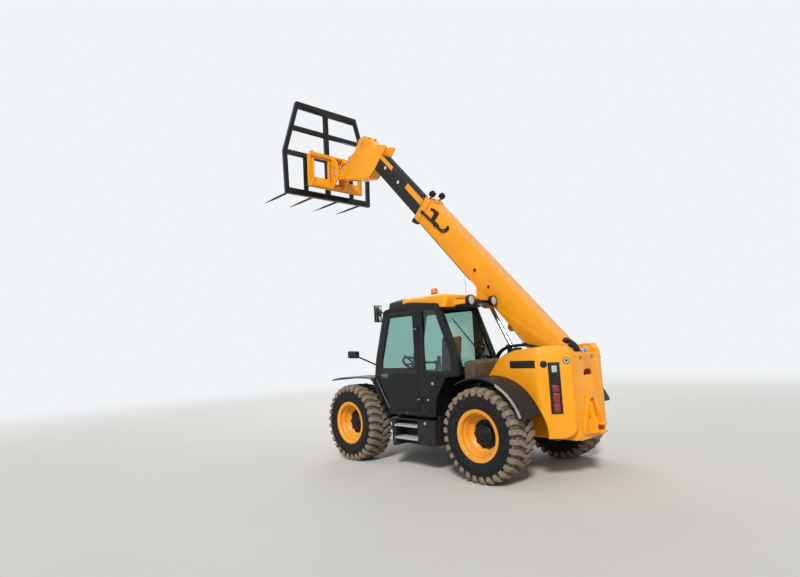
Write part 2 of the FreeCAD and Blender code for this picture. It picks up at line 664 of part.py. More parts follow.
def cab_frame():
    """Hollow cab with its floor, pillars and window openings; the door has its own opening."""
    shell = slab(CAB_SIDE, CAB_RIGHT, CAB_LEFT)
    inside = slab(shift_path(CAB_SIDE, CAB_WALL), CAB_RIGHT + CAB_WALL, CAB_LEFT - CAB_WALL)
    shell = shell.cut(inside)
    for points in (DOOR_OPENING, QUARTER_WINDOW):
        shell = shell.cut(slab(points, CAB_LEFT - CAB_WALL - 1, CAB_LEFT + 1))
    shell = shell.cut(slab(SIDE_WINDOW, CAB_RIGHT - 1, CAB_RIGHT + CAB_WALL + 1))
    for points, x0, x1 in ((FRONT_WINDOW, 1700, 2300), (REAR_WINDOW, 250, 700)):
        shell = shell.cut(wall(points, x0, x1))
    pieces = [shell]
    x, y = DOOR_HINGE
    for z in DOOR_HINGE_Z:
        pieces.append(rod((x, y, z), (x, y, z + 92), DOOR_HINGE_R - 4))
        for low in (z, z + 67):
            pieces.append(rod((x, y, low), (x, y, low + 25), DOOR_HINGE_R))
            pieces.append(box((x - 25, x), (CAB_LEFT - 5, y), (low, low + 25)))
    return fused(pieces)


FRONT_WINDOW = [(CAB_RIGHT + 60, 1000, 40), (CAB_LEFT - 60, 1000, 40), (CAB_LEFT - 60, 2380, 40),
                (CAB_RIGHT + 60, 2380, 40)]
REAR_WINDOW = [(CAB_RIGHT + 70, 1500, 60), (CAB_LEFT - 70, 1500, 60), (CAB_LEFT - 80, 2365, 60),
               (CAB_RIGHT + 80, 2365, 60)]


def cab_glass():
    """Flat and bent panes set into the middle of the wall openings."""
    setting = (CAB_WALL - GLASS_T) / 2
    quarter = slab(QUARTER_WINDOW, CAB_LEFT - setting - GLASS_T, CAB_LEFT - setting)
    side = slab(SIDE_WINDOW, CAB_RIGHT + setting, CAB_RIGHT + setting + GLASS_T)
    outer = slab(shift_path(CAB_SIDE, setting), CAB_RIGHT, CAB_LEFT)
    core = slab(shift_path(CAB_SIDE, setting + GLASS_T), CAB_RIGHT - 1, CAB_LEFT + 1)
    skin = outer.cut(core)
    front = skin.common(wall(FRONT_WINDOW, 1700, 2300))
    rear = skin.common(wall(REAR_WINDOW, 250, 700))
    return [quarter, side, front, rear]


def cab_roof():
    """Raised roof panel that tapers to its flat top, narrower than the cab."""
    # x from, x to, inset from each side of the cab, height
    sections = ((520, 1770, 30, 2380), (500, 1740, 40, 2540), (620, 1560, 130, ROOF_TOP))
    rings = []
    for x0, x1, inset, z in sections:
        y0 = CAB_RIGHT + inset
        y1 = CAB_LEFT - inset
        rings.append(outline([(x0, y0, 60), (x1, y0, 60), (x1, y1, 60), (x0, y1, 60)], level(z)).OuterWire)
    roof = Part.makeLoft(rings[:2], True, True).fuse(Part.makeLoft(rings[1:], True, True))
    visor = slab([(VISOR_X, 2410, 20), (VISOR_X, 2470, 20), (560, 2500, 0), (640, 2440, 0), (560, 2405, 0)],
                 CAB_RIGHT - 5, CAB_LEFT - 230)
    roof = roof.fuse(visor)
    return roof.cut(slab(CAB_SIDE, CAB_RIGHT - 60, CAB_LEFT + 10)).removeSplitter()


def door_shell():
    """Door with its window cut, hinged at its rear edge."""
    panel = slab(shift_path(DOOR_OPENING, DOOR_GAP), CAB_LEFT - CAB_WALL, CAB_LEFT)
    panel = panel.cut(slab(DOOR_WINDOW, CAB_LEFT - CAB_WALL - 1, CAB_LEFT + 1))
    pieces = [panel]
    x, y = DOOR_HINGE
    for z in DOOR_HINGE_Z:
        leaf = (z + 25 + MOVE_CLEAR, z + 67 - MOVE_CLEAR)
        strap = box((x, x + 80), (CAB_LEFT + MOVE_CLEAR, y + 6), leaf)
        strap = strap.fuse(box((x + 24, x + 80), (CAB_LEFT - 1, y + 6), leaf))
        strap = strap.fuse(rod((x, y, leaf[0]), (x, y, leaf[1]), DOOR_HINGE_R))
        pieces.append(strap.cut(rod((x, y, z), (x, y, z + 92), DOOR_HINGE_R - 4 + PIN_CLEAR)))
    return fused(pieces)


DOOR_WINDOW = [(DOOR_REAR + 80, 1500, 40), (1965, 1500, 60), (1925, 1670, 200), (1715, 2320, 50),
               (DOOR_REAR + 80, 2320, 50)]


def door_glass():
    setting = (CAB_WALL - GLASS_T) / 2
    return slab(DOOR_WINDOW, CAB_LEFT - setting - GLASS_T, CAB_LEFT - setting)


def seat():
    """Cushion, backrest and headrest as plain rounded blocks."""
    cushion = slab([(840, 1290.3, 30), (1400, 1290.3, 40), (1400, 1400, 40), (840, 1400, 30)], 400, 880)
    back = slab([(800, 1400.3, 30), (930, 1400.3, 30), (850, 2000, 40), (735, 1990, 40)], 410, 870)
    return [cushion, back]


def controls():
    """Seat base, side console, dashboard, steering column and wheel."""
    base = box((940, 1340), (430, 850), (870, 1290))
    console = slab([(900, 870, 0), (1500, 870, 0), (1560, 1400, 60), (1420, 1440, 40), (900, 1330, 40)],
                   256, 380)
    stick = rod((1450, 320, 1400), (1460, 320, 1560), 18)
    dash = slab([(1700, 870, 0), (1760, 870, 0), (1990, 1280, 60), (1900, 1400, 40), (1740, 1330, 40)],
                520, 780)
    dash = dash.common(slab(shift_path(CAB_SIDE, CAB_WALL), 500, 800))
    column = rod((1800, 650, 1330), (1640, 650, 1560), 32)
    wheel = Part.makeTorus(190, 16, V(0, 0, 0), V(0, 0, 1), 0, 360, 360)
    spoke = box((-185, 185), (-18, 18), (-9, 9))
    ring = fused([wheel, spoke, box((-18, 18), (-185, 185), (-9, 9))])
    ring.rotate(V(0, 0, 0), V(0, 1, 0), -35)
    ring.translate(V(1640, 650, 1560))
    return [base, fused([console, stick]), fused([dash, column, ring])]


def tool_box():
    """Box, step well and front apron that hang under the cab."""
    case = slab([(800, 400, 20), (1165, 400, 20), (1165, 760, 0), (800, 760, 0)], 700, 1115)
    back = box((1165, 1665), (880, 895), (350, 760))
    apron = slab([(1665, 340, 30), (1740, 340, 20), (1750, 760, 0), (1665, 760, 0)], 700, 1105)
    sill = box((1165, 1665), (895, 1090), (735, 760))
    return fused([case, back, apron, sill])


def steps():
    """Two treads in the step well."""
    treads = []
    for z in (455, 640):
        treads.append(slab([(1165, z, 0), (1665, z, 0), (1665, z + 30, 0), (1165, z + 30, 0)], 895, 1125))
    return treads


def wheel_arch(radius, y_low, y_high):
    """Drum about the rear wheel's centre, to cut an arch."""
    return rod((0, y_low, TYRE_R), (0, y_high, TYRE_R), radius)


def rear_deck():
    """Tank between the cab and the tail, seated on the fender."""
    side = [(95, 1300, 0), (275, 1300, 0), (275, 1590, 40), (140, 1610, 30), (95, 1560, 20)]
    return slab(side, 400, 1010).cut(wheel_arch(FENDER_R + FENDER_T + SEAT_GAP, 390, 1020))


def front_fenders():
    path = [(WHEELBASE + 490, 1330, 0), (WHEELBASE + 200, 1375, 150), (WHEELBASE - 600, 1375, 150),
            (WHEELBASE - 850, 1000, 0)]
    guard = slab(band(path, FENDER_T), 540, 1150)
    return both(guard)


TAIL_SIDE = [
    (250, 1240, 40), (90, 1370, 60), (-110, 1615, 150), (-360, 1711, 300), (-880, 1757, 80), (-1005, 1640, 80),
    (-1005, 572, 130), (-690, 572, 60), (-500, 1000, 0), (0, 1000, 0),
]
TAIL_PLAN = [
    (260, FRAME_Y, 0), (260, TAIL_Y, 0), (REAR_X + 320, TAIL_Y, 120), (REAR_X + 5, TAIL_Y - 315, 60),
    (REAR_X + 5, FRAME_Y, 0),
]


def tail_panel():
    """Big side panel that tapers to the rear plate, arched over the wheel."""
    body = deck(TAIL_PLAN, 500, 1800).common(slab(TAIL_SIDE, FRAME_Y, TAIL_Y + 1))
    return body.cut(wheel_arch(FENDER_R + FENDER_T + SEAT_GAP, FRAME_Y - 1, TAIL_Y + 1))


def rear_fenders():
    """Bent strip struck from the wheel's centre, with a flap at its rear end."""
    ring = wheel_arch(FENDER_R + FENDER_T, 400, FENDER_OUT).cut(wheel_arch(FENDER_R, 399, FENDER_OUT + 1))
    reach = 1100
    ends = []
    for angle in (62, 160):
        turn = math.radians(angle)
        ends.append((reach * math.cos(turn), TYRE_R + reach * math.sin(turn), 0))
    sector = [(0, TYRE_R, 0), ends[0], (reach, TYRE_R + 2 * reach, 0), (-2 * reach, TYRE_R + 2 * reach, 0), ends[1]]
    return both(ring.common(slab(sector, 390, FENDER_OUT + 1)))


# Engine side

def engine_pod():
    """Tray and walls round the engine, open on top for the bonnet."""
    profile = [(POD_BACK, POD_BOTTOM, 60), (POD_FRONT, POD_BOTTOM, 60), (POD_FRONT, POD_SPLIT, 0),
               (POD_BACK, POD_SPLIT, 0)]
    shell = slab(profile, -POD_OUTER, -POD_INNER)
    hollow = slab([(POD_BACK + POD_WALL, POD_BOTTOM + POD_WALL, 40),
                   (POD_FRONT - POD_WALL, POD_BOTTOM + POD_WALL, 40),
                   (POD_FRONT - POD_WALL, POD_SPLIT + 1, 0), (POD_BACK + POD_WALL, POD_SPLIT + 1, 0)],
                  -POD_OUTER + POD_WALL, -POD_INNER - POD_WALL)
    bulkhead = slab([(POD_BACK, POD_SPLIT, 0), (POD_FRONT, POD_SPLIT, 0), (POD_FRONT - 40, POD_TOP, 60),
                     (POD_BACK + 30, POD_TOP, 60)], -POD_INNER - POD_WALL, -POD_INNER)
    pieces = [shell.cut(hollow), bulkhead]
    y, z = BONNET_HINGE
    for x in BONNET_HINGE_X:
        pieces.append(rod((x, y, z), (x + 80, y, z), BONNET_HINGE_R - 4))
        for low in (x, x + 66):
            pieces.append(rod((low, y, z), (low + 14, y, z), BONNET_HINGE_R))
            pieces.append(box((low, low + 14), (y + 5, -POD_INNER - 2), (POD_TOP - 5, z)))
    return fused(pieces)


def bonnet():
    """Engine cover, open below and towards the boom, hinged along its inner top edge."""
    low = POD_SPLIT + MOVE_CLEAR
    inner = -POD_INNER - POD_WALL - MOVE_CLEAR
    profile = [(POD_BACK, low, 0), (POD_FRONT, low, 0), (POD_FRONT - 40, POD_TOP, 60),
               (POD_BACK + 30, POD_TOP, 60)]
    ends = [(-POD_OUTER, low - 1, 0), (inner, low - 1, 0), (inner, POD_TOP + 1, 0),
            (-POD_OUTER + 230, POD_TOP, 120), (-POD_OUTER, POD_TOP - 200, 100)]
    cover = slab(profile, -POD_OUTER, inner).common(wall(ends, POD_BACK, POD_FRONT))
    w = POD_WALL
    profile_in = [(POD_BACK + w, low - 2, 0), (POD_FRONT - w, low - 2, 0),
                  (POD_FRONT - w - 40, POD_TOP - w, 40), (POD_BACK + w + 30, POD_TOP - w, 40)]
    ends_in = [(-POD_OUTER + w, low - 2, 0), (inner + 1, low - 2, 0), (inner + 1, POD_TOP - w, 0),
               (-POD_OUTER + 240, POD_TOP - w, 100), (-POD_OUTER + w, POD_TOP - 210, 80)]
    core = slab(profile_in, -POD_OUTER, inner + 1).common(wall(ends_in, POD_BACK, POD_FRONT))
    pieces = [cover.cut(core)]
    y, z = BONNET_HINGE
    for x in BONNET_HINGE_X:
        leaf = (x + 14 + MOVE_CLEAR, x + 66 - MOVE_CLEAR)
        strap = box(leaf, (y - 70, y - 4), (POD_TOP - 1, z - 2))
        strap = strap.fuse(rod((leaf[0], y, z), (leaf[1], y, z), BONNET_HINGE_R))
        pieces.append(strap.cut(rod((x, y, z), (x + 80, y, z), BONNET_HINGE_R - 4 + PIN_CLEAR)))
    return fused(pieces)


def engine_block():
    return box((POD_BACK + 130, POD_FRONT - 130), (-980, -480), (POD_BOTTOM + POD_WALL, 1240))


def exhaust():
    """Upright silencer and tail pipe on the frame in front of the engine pod."""
    x, y = POD_FRONT + 250, -450
    can = rod((x, y, 980), (x, y, 1420), 75)
    pipe = rod((x, y, 1420), (x, y, 1640), 34)
    bracket = box((x - 30, x + 30), (y, -FRAME_Y), (1000, 1040))
    foot = box((x - 30, x + 30), (-FRAME_Y - 40, -FRAME_Y), (700, 1040))
    return fused([can, pipe, bracket, foot])


# Lamps and mirrors

def lamps():
    """Tail lamp housings, head lamps, roof work lamps and the beacon."""
    pieces = []
    slot = box((0, 14), (-75, 75), (885, 1537))
    slot.rotate(V(0, 0, 0), V(0, 0, 1), 135)
    slot.translate(V(REAR_X + 162.5 - SEAT_GAP, TAIL_Y - 157.5 + SEAT_GAP, 0))
    pieces += both(slot)
    # Blocks: x from, x to, y from, y to, z from, z to
    blocks = (
        (FRONT_X, FRONT_X + 60, 190, 320, 760, 900),
        (FRONT_X, FRONT_X + 60, -320, -190, 760, 900),
    )
    for x0, x1, y0, y1, z0, z1 in blocks:
        pieces.append(box((x0, x1), (y0, y1), (z0, z1)))
    for y in (275, 795):
        pieces.append(rod((VISOR_X - 55, y, 2455), (VISOR_X - SEAT_GAP, y, 2455), 75))
    base = rod((941, 816, ROOF_TOP), (941, 816, ROOF_TOP + 30), 55)
    dome = turned([(0, 0, 0), (85, 0, 0), (85, 45, 30), (0, 52, 0)], (0, 0, 0))
    dome.rotate(V(0, 0, 0), V(1, 0, 0), 90)
    dome.translate(V(941, 816, ROOF_TOP + 30))
    pieces.append(fused([base, dome]))
    return pieces


def mirrors():
    """Arms and heads: one high at the cab's front corner, one low over the left front wheel."""
    high_arm = rod((1760, CAB_LEFT - 15, 2330), (1960, 1140, 2520), 12)
    high = box((1940, 1975), (1030, 1165), (2260, 2530))
    low_arm = rod((2050, CAB_LEFT - 30, 1560), (2560, 1080, 1720), 13)
    cab = slab(CAB_SIDE, CAB_RIGHT, CAB_LEFT)
    low = slab([(2540, 1690, 30), (2780, 1700, 30), (2780, 1820, 30), (2540, 1810, 30)], 1060, 1120)
    return [fused([high_arm, high]).cut(cab).cut(cab_roof()), fused([low_arm, low]).cut(cab)]


def build():
    os.makedirs("parts", exist_ok=True)
    save("chassis_frame", chassis_frame())
    save("tow_hitch", tow_hitch())
    for name, x in (("front", WHEELBASE), ("rear", 0)):
        save(name + "_axle", axle(x))
        for side_name, side in (("left", 1), ("right", -1)):
            tag = name + "_" + side_name
            save("knuckle_" + tag, knuckle(x, side))
            save("rim_" + tag, rim(x, side))
            save("tyre_" + tag, tyre(x, side))
    save("outer_boom", outer_boom())
    save("boom_fittings", *boom_fittings())
    save("inner_boom", inner_boom())
    save("boom_nose", boom_nose())
    save("hose_tray", hose_tray())
    lift_barrel, lift_rod = ram(LIFT_BASE, boom_point(*LIFT_PIN), 1120, 65, 1095, 35, 62, 32)
    level_barrel, level_rod = ram(LEVEL_BASE, boom_point(*LEVEL_PIN), 800, 38, 720, 22, 46, 26)
    tilt_barrel, tilt_rod = ram(TILT_BASE, TILT_PIN, 600, 40, 600, 24, 44, 0)
    save("lift_barrel", lift_barrel)
    save("lift_rod", lift_rod)
    save("level_barrel", level_barrel)
    save("level_rod", level_rod)
    save("tilt_barrel", tilt_barrel)
    save("tilt_rod", tilt_rod)
    save("carriage", carriage())
    save("headboard", headboard())
    save("tines", *tines())
    save("cab_frame", cab_frame())
    save("cab_roof", cab_roof())
    save("cab_glass", *cab_glass())
    save("door_shell", door_shell())
    save("door_glass", door_glass())
    save("seat", *seat())
    save("controls", *controls())
    save("tool_box", tool_box())
    save("steps", *steps())
    save("rear_deck", rear_deck())
    save("front_fenders", *front_fenders())
    save("rear_fenders", *rear_fenders())
    save("tail_panels", *both(tail_panel()))
    save("engine_pod", engine_pod())
    save("bonnet", bonnet())
    save("engine_block", engine_block())
    save("exhaust", exhaust())
    save("lamps", *lamps())
    save("mirrors", *mirrors())


build()
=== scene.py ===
"""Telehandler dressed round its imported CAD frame: finishes, tyres, glass, lamps, seat and fittings."""

import math
import random

import bmesh
import bpy
from mathutils import Matrix, Vector


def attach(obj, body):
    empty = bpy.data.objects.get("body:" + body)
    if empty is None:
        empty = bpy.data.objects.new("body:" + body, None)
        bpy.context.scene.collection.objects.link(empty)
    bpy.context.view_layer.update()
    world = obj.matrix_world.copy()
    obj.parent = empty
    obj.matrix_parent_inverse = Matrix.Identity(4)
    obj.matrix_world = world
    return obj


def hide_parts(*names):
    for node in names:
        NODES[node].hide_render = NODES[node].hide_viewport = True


bl_info = {
    "name": "Telehandler dresser",
    "version": (1, 0, 0),
    "blender": (4, 5, 0),
    "location": "3D View > Sidebar > Telehandler",
    "description": "Builds the looks of a telehandler round its packed CAD frame",
    "category": "Object",
}

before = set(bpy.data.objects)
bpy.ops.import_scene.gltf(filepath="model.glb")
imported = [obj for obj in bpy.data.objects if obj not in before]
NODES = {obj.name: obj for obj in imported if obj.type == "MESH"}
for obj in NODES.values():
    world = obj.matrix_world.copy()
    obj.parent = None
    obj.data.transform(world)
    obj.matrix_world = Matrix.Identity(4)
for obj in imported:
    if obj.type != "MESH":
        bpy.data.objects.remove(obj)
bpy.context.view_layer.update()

# Places are written in the machine's millimetres: X forward from the rear axle, Y to the cab side,
# Z up. The row's origin lies 2.3 m ahead of the rear axle.
ORIGIN_X = 2300.0
MACHINE = Matrix.Scale(0.001, 4) @ Matrix.Translation((-ORIGIN_X, 0, 0))
X, Y, Z = Vector((1, 0, 0)), Vector((0, 1, 0)), Vector((0, 0, 1))
AXES = {"x": X, "y": Y, "z": Z}

# Boom: places are (along, y, square to it) from its pivot
PIVOT = (-780.0, 0.0, 1580.0)
BOOM_ANGLE = math.radians(47.8)
BOOM = MACHINE @ Matrix.Translation(PIVOT) @ Matrix.Rotation(-BOOM_ANGLE, 4, "Y")
BOOM_Y = 160.0
BOOM_TOP = 120.0
BOOM_END = 3700.0
INNER_Y = 120.0
INNER_TOP = 30.0

# Rams' pins: LIFT_PIN and LEVEL_PIN as (along, square) on the boom, the rest as the machine's (x, z)
LIFT_BASE, LIFT_PIN = (-360, 740), (1550, -400)
LEVEL_BASE, LEVEL_PIN = (-720, 980), (950, -365)
TILT_BASE, TILT_PIN = (3330, 5960), (4240, 5718)
CARRIAGE_PIN = (4220, 5550)

# Wheels
WHEELBASE = 2750.0
WHEEL_Y = 945.0
TYRE_R = 625.0
CORNERS = (
    # tag, x, side
    ("front_left", WHEELBASE, 1),
    ("front_right", WHEELBASE, -1),
    ("rear_left", 0.0, 1),
    ("rear_right", 0.0, -1),
)

# Cab
CAB_LEFT = 1100.0
CAB_RIGHT = 200.0
ROOF_TOP = 2595.0
BEACON = (941, 816, ROOF_TOP + 30)
AERIAL = (798, 248, 2543)
STEERING_WHEEL = (1640, 650, 1560)

# Frame and engine pod
FRAME_Y = 330.0
FRONT_X = 3150.0
POD_FRONT = 1870.0
EXHAUST = (POD_FRONT + 250, -450)
TAIL_BACK = -1010

# Parts of the roof that are painted black, and the frame's middle under the cab, which is coloured black: (x,
# y, z) ranges
ROOF_BLACK = (((0, 640), (0, 830), (2300, 2506)), ((1400, 2300), (0, 1300), (2300, 2700)))
FRAME_BLACK = (((200, 2640), (-1200, 1200), (300, 860)),)

# Camera that matches the photograph
CAMERA_AT = (-6.963, 6.742, 1.823)
CAMERA_YAW = math.radians(-42.947)
CAMERA_PITCH = math.radians(6.345)
CAMERA_ROLL = math.radians(-3.097)
CAMERA_LENS = 24.144


# Settings

def colour_setting(name, description, default):
    return bpy.props.FloatVectorProperty(name=name, description=description, default=default,
                                         subtype="COLOR", size=3, min=0, max=1)


class HandlerColours(bpy.types.PropertyGroup):
    """Colours of the finishes."""
    body: colour_setting("Body paint", "Paint of boom, tail and wheels", (0.87, 0.335, 0.006))
    black: colour_setting("Black paint", "Paint of cab frame and fork frame", (0.0065, 0.0065, 0.0075))
    plastic: colour_setting("Plastic", "Moulded fenders, trim and boxes", (0.010, 0.010, 0.012))
    rubber: colour_setting("Rubber", "Side walls of the tyres", (0.011, 0.011, 0.012))
    dust: colour_setting("Dust", "Dry soil on tread and low parts", (0.255, 0.205, 0.155))
    glass: colour_setting("Glass", "Tint of the windows", (0.47, 0.67, 0.62))
    steel: colour_setting("Steel", "Bare steps, nuts and catches", (0.58, 0.58, 0.57))


class HandlerSizes(bpy.types.PropertyGroup):
    """Sizes of the details, in metres or counts."""
    lug_count: bpy.props.IntProperty(name="Lugs", description="Tread lugs on each side of a tyre",
                                     default=30, min=12, max=60)
    lug_depth: bpy.props.FloatProperty(name="Lug depth", description="Height of the tread lugs",
                                       default=0.030, min=0.005, max=0.06, unit="LENGTH", precision=4)
    edge: bpy.props.FloatProperty(name="Edge rounding", description="Bevel width on plates and castings",
                                  default=0.003, min=0.0, max=0.02, unit="LENGTH", precision=4)
    wheel_nuts: bpy.props.IntProperty(name="Wheel nuts", description="Nuts that hold each wheel",
                                      default=10, min=4, max=16)


# Materials

class Recipe:
    """A material under construction: nodes by kind, links by socket."""

    def __init__(self, name):
        self.material = bpy.data.materials.new(name)
        self.material.use_nodes = True
        self.tree = self.material.node_tree
        self.shader = self.tree.nodes["Principled BSDF"]
        self.place = self.add("ShaderNodeTexCoord").outputs["Object"]

    def add(self, kind, inputs=(), **settings):
        node = self.tree.nodes.new(kind)
        for key, value in settings.items():
            setattr(node, key, value)
        for key, value in dict(inputs).items():
            self.put(node.inputs[key], value)
        return node

    def put(self, socket, value):
        """Links a socket to an output, or sets its value."""
        if isinstance(value, bpy.types.NodeSocket):
            self.tree.links.new(value, socket)
        else:
            socket.default_value = value

    def noise(self, scale, detail=4.0, rough=0.55, stretch=None):
        place = self.place
        if stretch:
            place = self.add("ShaderNodeMapping", {"Vector": place, "Scale": stretch}).outputs[0]
        node = self.add("ShaderNodeTexNoise", {"Vector": place, "Scale": scale, "Detail": detail,
                                               "Roughness": rough})
        return node.outputs["Fac"]

    def ramp(self, value, low, high, out_low=0.0, out_high=1.0):
        node = self.add("ShaderNodeMapRange", {"Value": value, "From Min": low, "From Max": high,
                                               "To Min": out_low, "To Max": out_high})
        return node.outputs["Result"]

    def maths(self, operation, a, b=0.0, clamp=False):
        return self.add("ShaderNodeMath", {0: a, 1: b}, operation=operation, use_clamp=clamp).outputs[0]

    def mix(self, factor, a, b, blend="MIX"):
        node = self.add("ShaderNodeMix", data_type="RGBA", blend_type=blend)
        self.put(node.inputs["Factor"], factor)
        self.put(node.inputs["A"], a)
        self.put(node.inputs["B"], b)
        return node.outputs["Result"]

    def bump(self, height, strength, distance):
        """Bump on the shader's normal."""
        node = self.add("ShaderNodeBump", {"Height": height, "Strength": strength, "Distance": distance})
        self.put(self.shader.inputs["Normal"], node.outputs[0])

    def inside(self, box):
        """1 inside a box of (low, high) ranges in the machine's mm, 0 outside."""
        parts = self.add("ShaderNodeSeparateXYZ", {"Vector": self.place}).outputs
        value = 1.0
        for part, (low, high), origin in zip(parts, box, (ORIGIN_X, 0.0, 0.0)):
            above = self.maths("GREATER_THAN", part, (low - origin) / 1000)
            below = self.maths("LESS_THAN", part, (high - origin) / 1000)
            value = self.maths("MULTIPLY", value, self.maths("MULTIPLY", above, below))
        return value


def rgba(colour, factor=1.0):
    return tuple(min(1.0, c * factor) for c in colour) + (1.0,)


def finish(name, colour, rough=0.45, metal=0.0, vary=0.10, patch=2.2, grain=0.0, grain_size=260.0,
           dust=0.0, dust_top=1.2, lying=0.0, wear=0.0, wear_colour=(0.10, 0.09, 0.08), coat=0.0,
           streaks=0.0, spread=0.12, shine=0.35, second=None, boxes=()):
    """Solid finish with uneven tone, dust that thickens downwards and worn edges.

    Inside the boxes, in the machine's mm, the second colour takes the first one's place.
    """
    colours = bpy.context.scene.handler_colours
    r = Recipe(name)
    patchy = r.noise(patch, 5.0, 0.6)
    tone = r.mix(r.ramp(patchy, 0.3, 0.7), rgba(colour, 1 - vary), rgba(colour, 1 + vary))
    for box in boxes:
        tone = r.mix(r.inside(box), tone, rgba(second))
    roughness = r.ramp(patchy, 0.3, 0.7, rough - spread / 2, rough + spread / 2)
    if streaks:
        run = r.noise(9.0, 6.0, 0.65, stretch=(1.0, 1.0, 0.10))
        tone = r.mix(r.ramp(run, 0.52, 0.74, 0.0, streaks), tone, rgba(colour, 0.62))
    if wear:
        soft = r.add("ShaderNodeBevel", {"Radius": 0.007}, samples=3).outputs[0]
        flat = r.add("ShaderNodeNewGeometry").outputs["Normal"]
        turn = r.add("ShaderNodeVectorMath", {0: soft, 1: flat}, operation="DOT_PRODUCT")
        edge = r.ramp(turn.outputs["Value"], 0.985, 0.90)
        chips = r.ramp(r.noise(38.0, 6.0, 0.7), 0.50, 0.62)
        worn = r.maths("MULTIPLY", r.maths("MULTIPLY", edge, chips), wear, True)
        tone = r.mix(worn, tone, rgba(wear_colour))
        roughness = r.maths("ADD", roughness, r.maths("MULTIPLY", worn, 0.15), True)
    if dust or lying:
        height = r.add("ShaderNodeSeparateXYZ", {"Vector": r.place}).outputs["Z"]
        splash = r.ramp(r.noise(5.5, 8.0, 0.7), 0.34, 0.66)
        amount = r.maths("MULTIPLY", r.maths("MULTIPLY", r.ramp(height, dust_top, 0.1), splash), dust)
        if lying:
            up = r.add("ShaderNodeNewGeometry").outputs["Normal"]
            level = r.add("ShaderNodeSeparateXYZ", {"Vector": up}).outputs["Z"]
            specks = r.ramp(r.noise(14.0, 7.0, 0.65), 0.3, 0.7)
            film = r.maths("MULTIPLY", r.ramp(level, 0.35, 0.95), specks)
            amount = r.maths("ADD", amount, r.maths("MULTIPLY", film, lying), True)
        tone = r.mix(r.maths("ADD", amount, 0.0, True), tone, rgba(colours.dust))
        roughness = r.maths("ADD", roughness, r.maths("MULTIPLY", amount, 0.4), True)
    r.put(r.shader.inputs["Base Color"], tone)
    r.put(r.shader.inputs["Roughness"], roughness)
    r.shader.inputs["Metallic"].default_value = metal
    r.shader.inputs["Coat Weight"].default_value = coat
    r.shader.inputs["Coat Roughness"].default_value = 0.12
    r.shader.inputs["Specular IOR Level"].default_value = shine
    if grain:
        r.bump(r.noise(grain_size, 3.0, 0.6), 0.6, grain)
    return r.material


def glass_finish(name, colour):
    """Clear tinted pane with a faint film of dust."""
    r = Recipe(name)
    r.shader.inputs["Base Color"].default_value = rgba(colour)
    r.shader.inputs["Transmission Weight"].default_value = 1.0
    r.shader.inputs["IOR"].default_value = 1.45
    smear = r.ramp(r.noise(7.0, 7.0, 0.7, stretch=(1.0, 1.0, 0.35)), 0.35, 0.75, 0.0, 0.04)
    r.put(r.shader.inputs["Roughness"], smear)
    return r.material


def lens_finish(name, colour, glow=0.0):
    """Moulded lamp lens with fine upright ribs under its skin."""
    r = Recipe(name)
    r.shader.inputs["Base Color"].default_value = rgba(colour)
    r.shader.inputs["Roughness"].default_value = 0.12
    r.shader.inputs["Coat Weight"].default_value = 0.6
    r.shader.inputs["Subsurface Weight"].default_value = 0.25
    r.shader.inputs["Subsurface Radius"].default_value = (0.01, 0.004, 0.003)
    ribs = r.add("ShaderNodeTexWave", {"Vector": r.place, "Scale": 55.0}, bands_direction="DIAGONAL")
    r.bump(ribs.outputs["Fac"], 0.5, 0.0012)
    if glow:
        r.shader.inputs["Emission Color"].default_value = rgba(colour)
        r.shader.inputs["Emission Strength"].default_value = glow
    return r.material


def rubber_finish(name, colour, dusty):
    """Tyre rubber: fine grain, with dry soil in patches."""
    colours = bpy.context.scene.handler_colours
    r = Recipe(name)
    cake = r.noise(16.0, 9.0, 0.72)
    fine = r.noise(120.0, 5.0, 0.7)
    soil = r.mix(r.ramp(fine, 0.3, 0.7), rgba(colours.dust, 0.62), rgba(colours.dust, 1.18))
    mask = r.ramp(cake, 0.68 - 0.62 * dusty, 0.92 - 0.62 * dusty)
    mask = r.maths("MULTIPLY", mask, min(1.0, 0.35 + dusty), True)
    tone = r.mix(mask, rgba(colour), soil)
    r.put(r.shader.inputs["Base Color"], tone)
    r.put(r.shader.inputs["Roughness"], r.ramp(mask, 0.0, 1.0, 0.62, 0.96))
    height = r.maths("ADD", r.maths("MULTIPLY", cake, 0.7), r.maths("MULTIPLY", fine, 0.3))
    r.bump(height, 0.5, 0.004)
    r.shader.inputs["Specular IOR Level"].default_value = 0.2
    return r.material


def fabric_finish(name, colour):
    """Woven seat cloth with two crossing sets of threads."""
    r = Recipe(name)
    threads = [r.add("ShaderNodeTexWave", {"Vector": r.place, "Scale": 95.0}, bands_direction=way)
               for way in ("Y", "X")]
    weave = r.maths("MULTIPLY", *(one.outputs["Fac"] for one in threads))
    tone = r.mix(weave, rgba(colour, 0.55), rgba(colour, 1.5))
    tone = r.mix(r.ramp(r.noise(8.0, 6.0, 0.6), 0.45, 0.7, 0.0, 0.35), tone, (0.10, 0.085, 0.07, 1))
    r.put(r.shader.inputs["Base Color"], tone)
    r.shader.inputs["Roughness"].default_value = 0.92
    r.shader.inputs["Sheen Weight"].default_value = 0.35
    r.bump(weave, 0.5, 0.0008)
    return r.material


FINISHES = {}


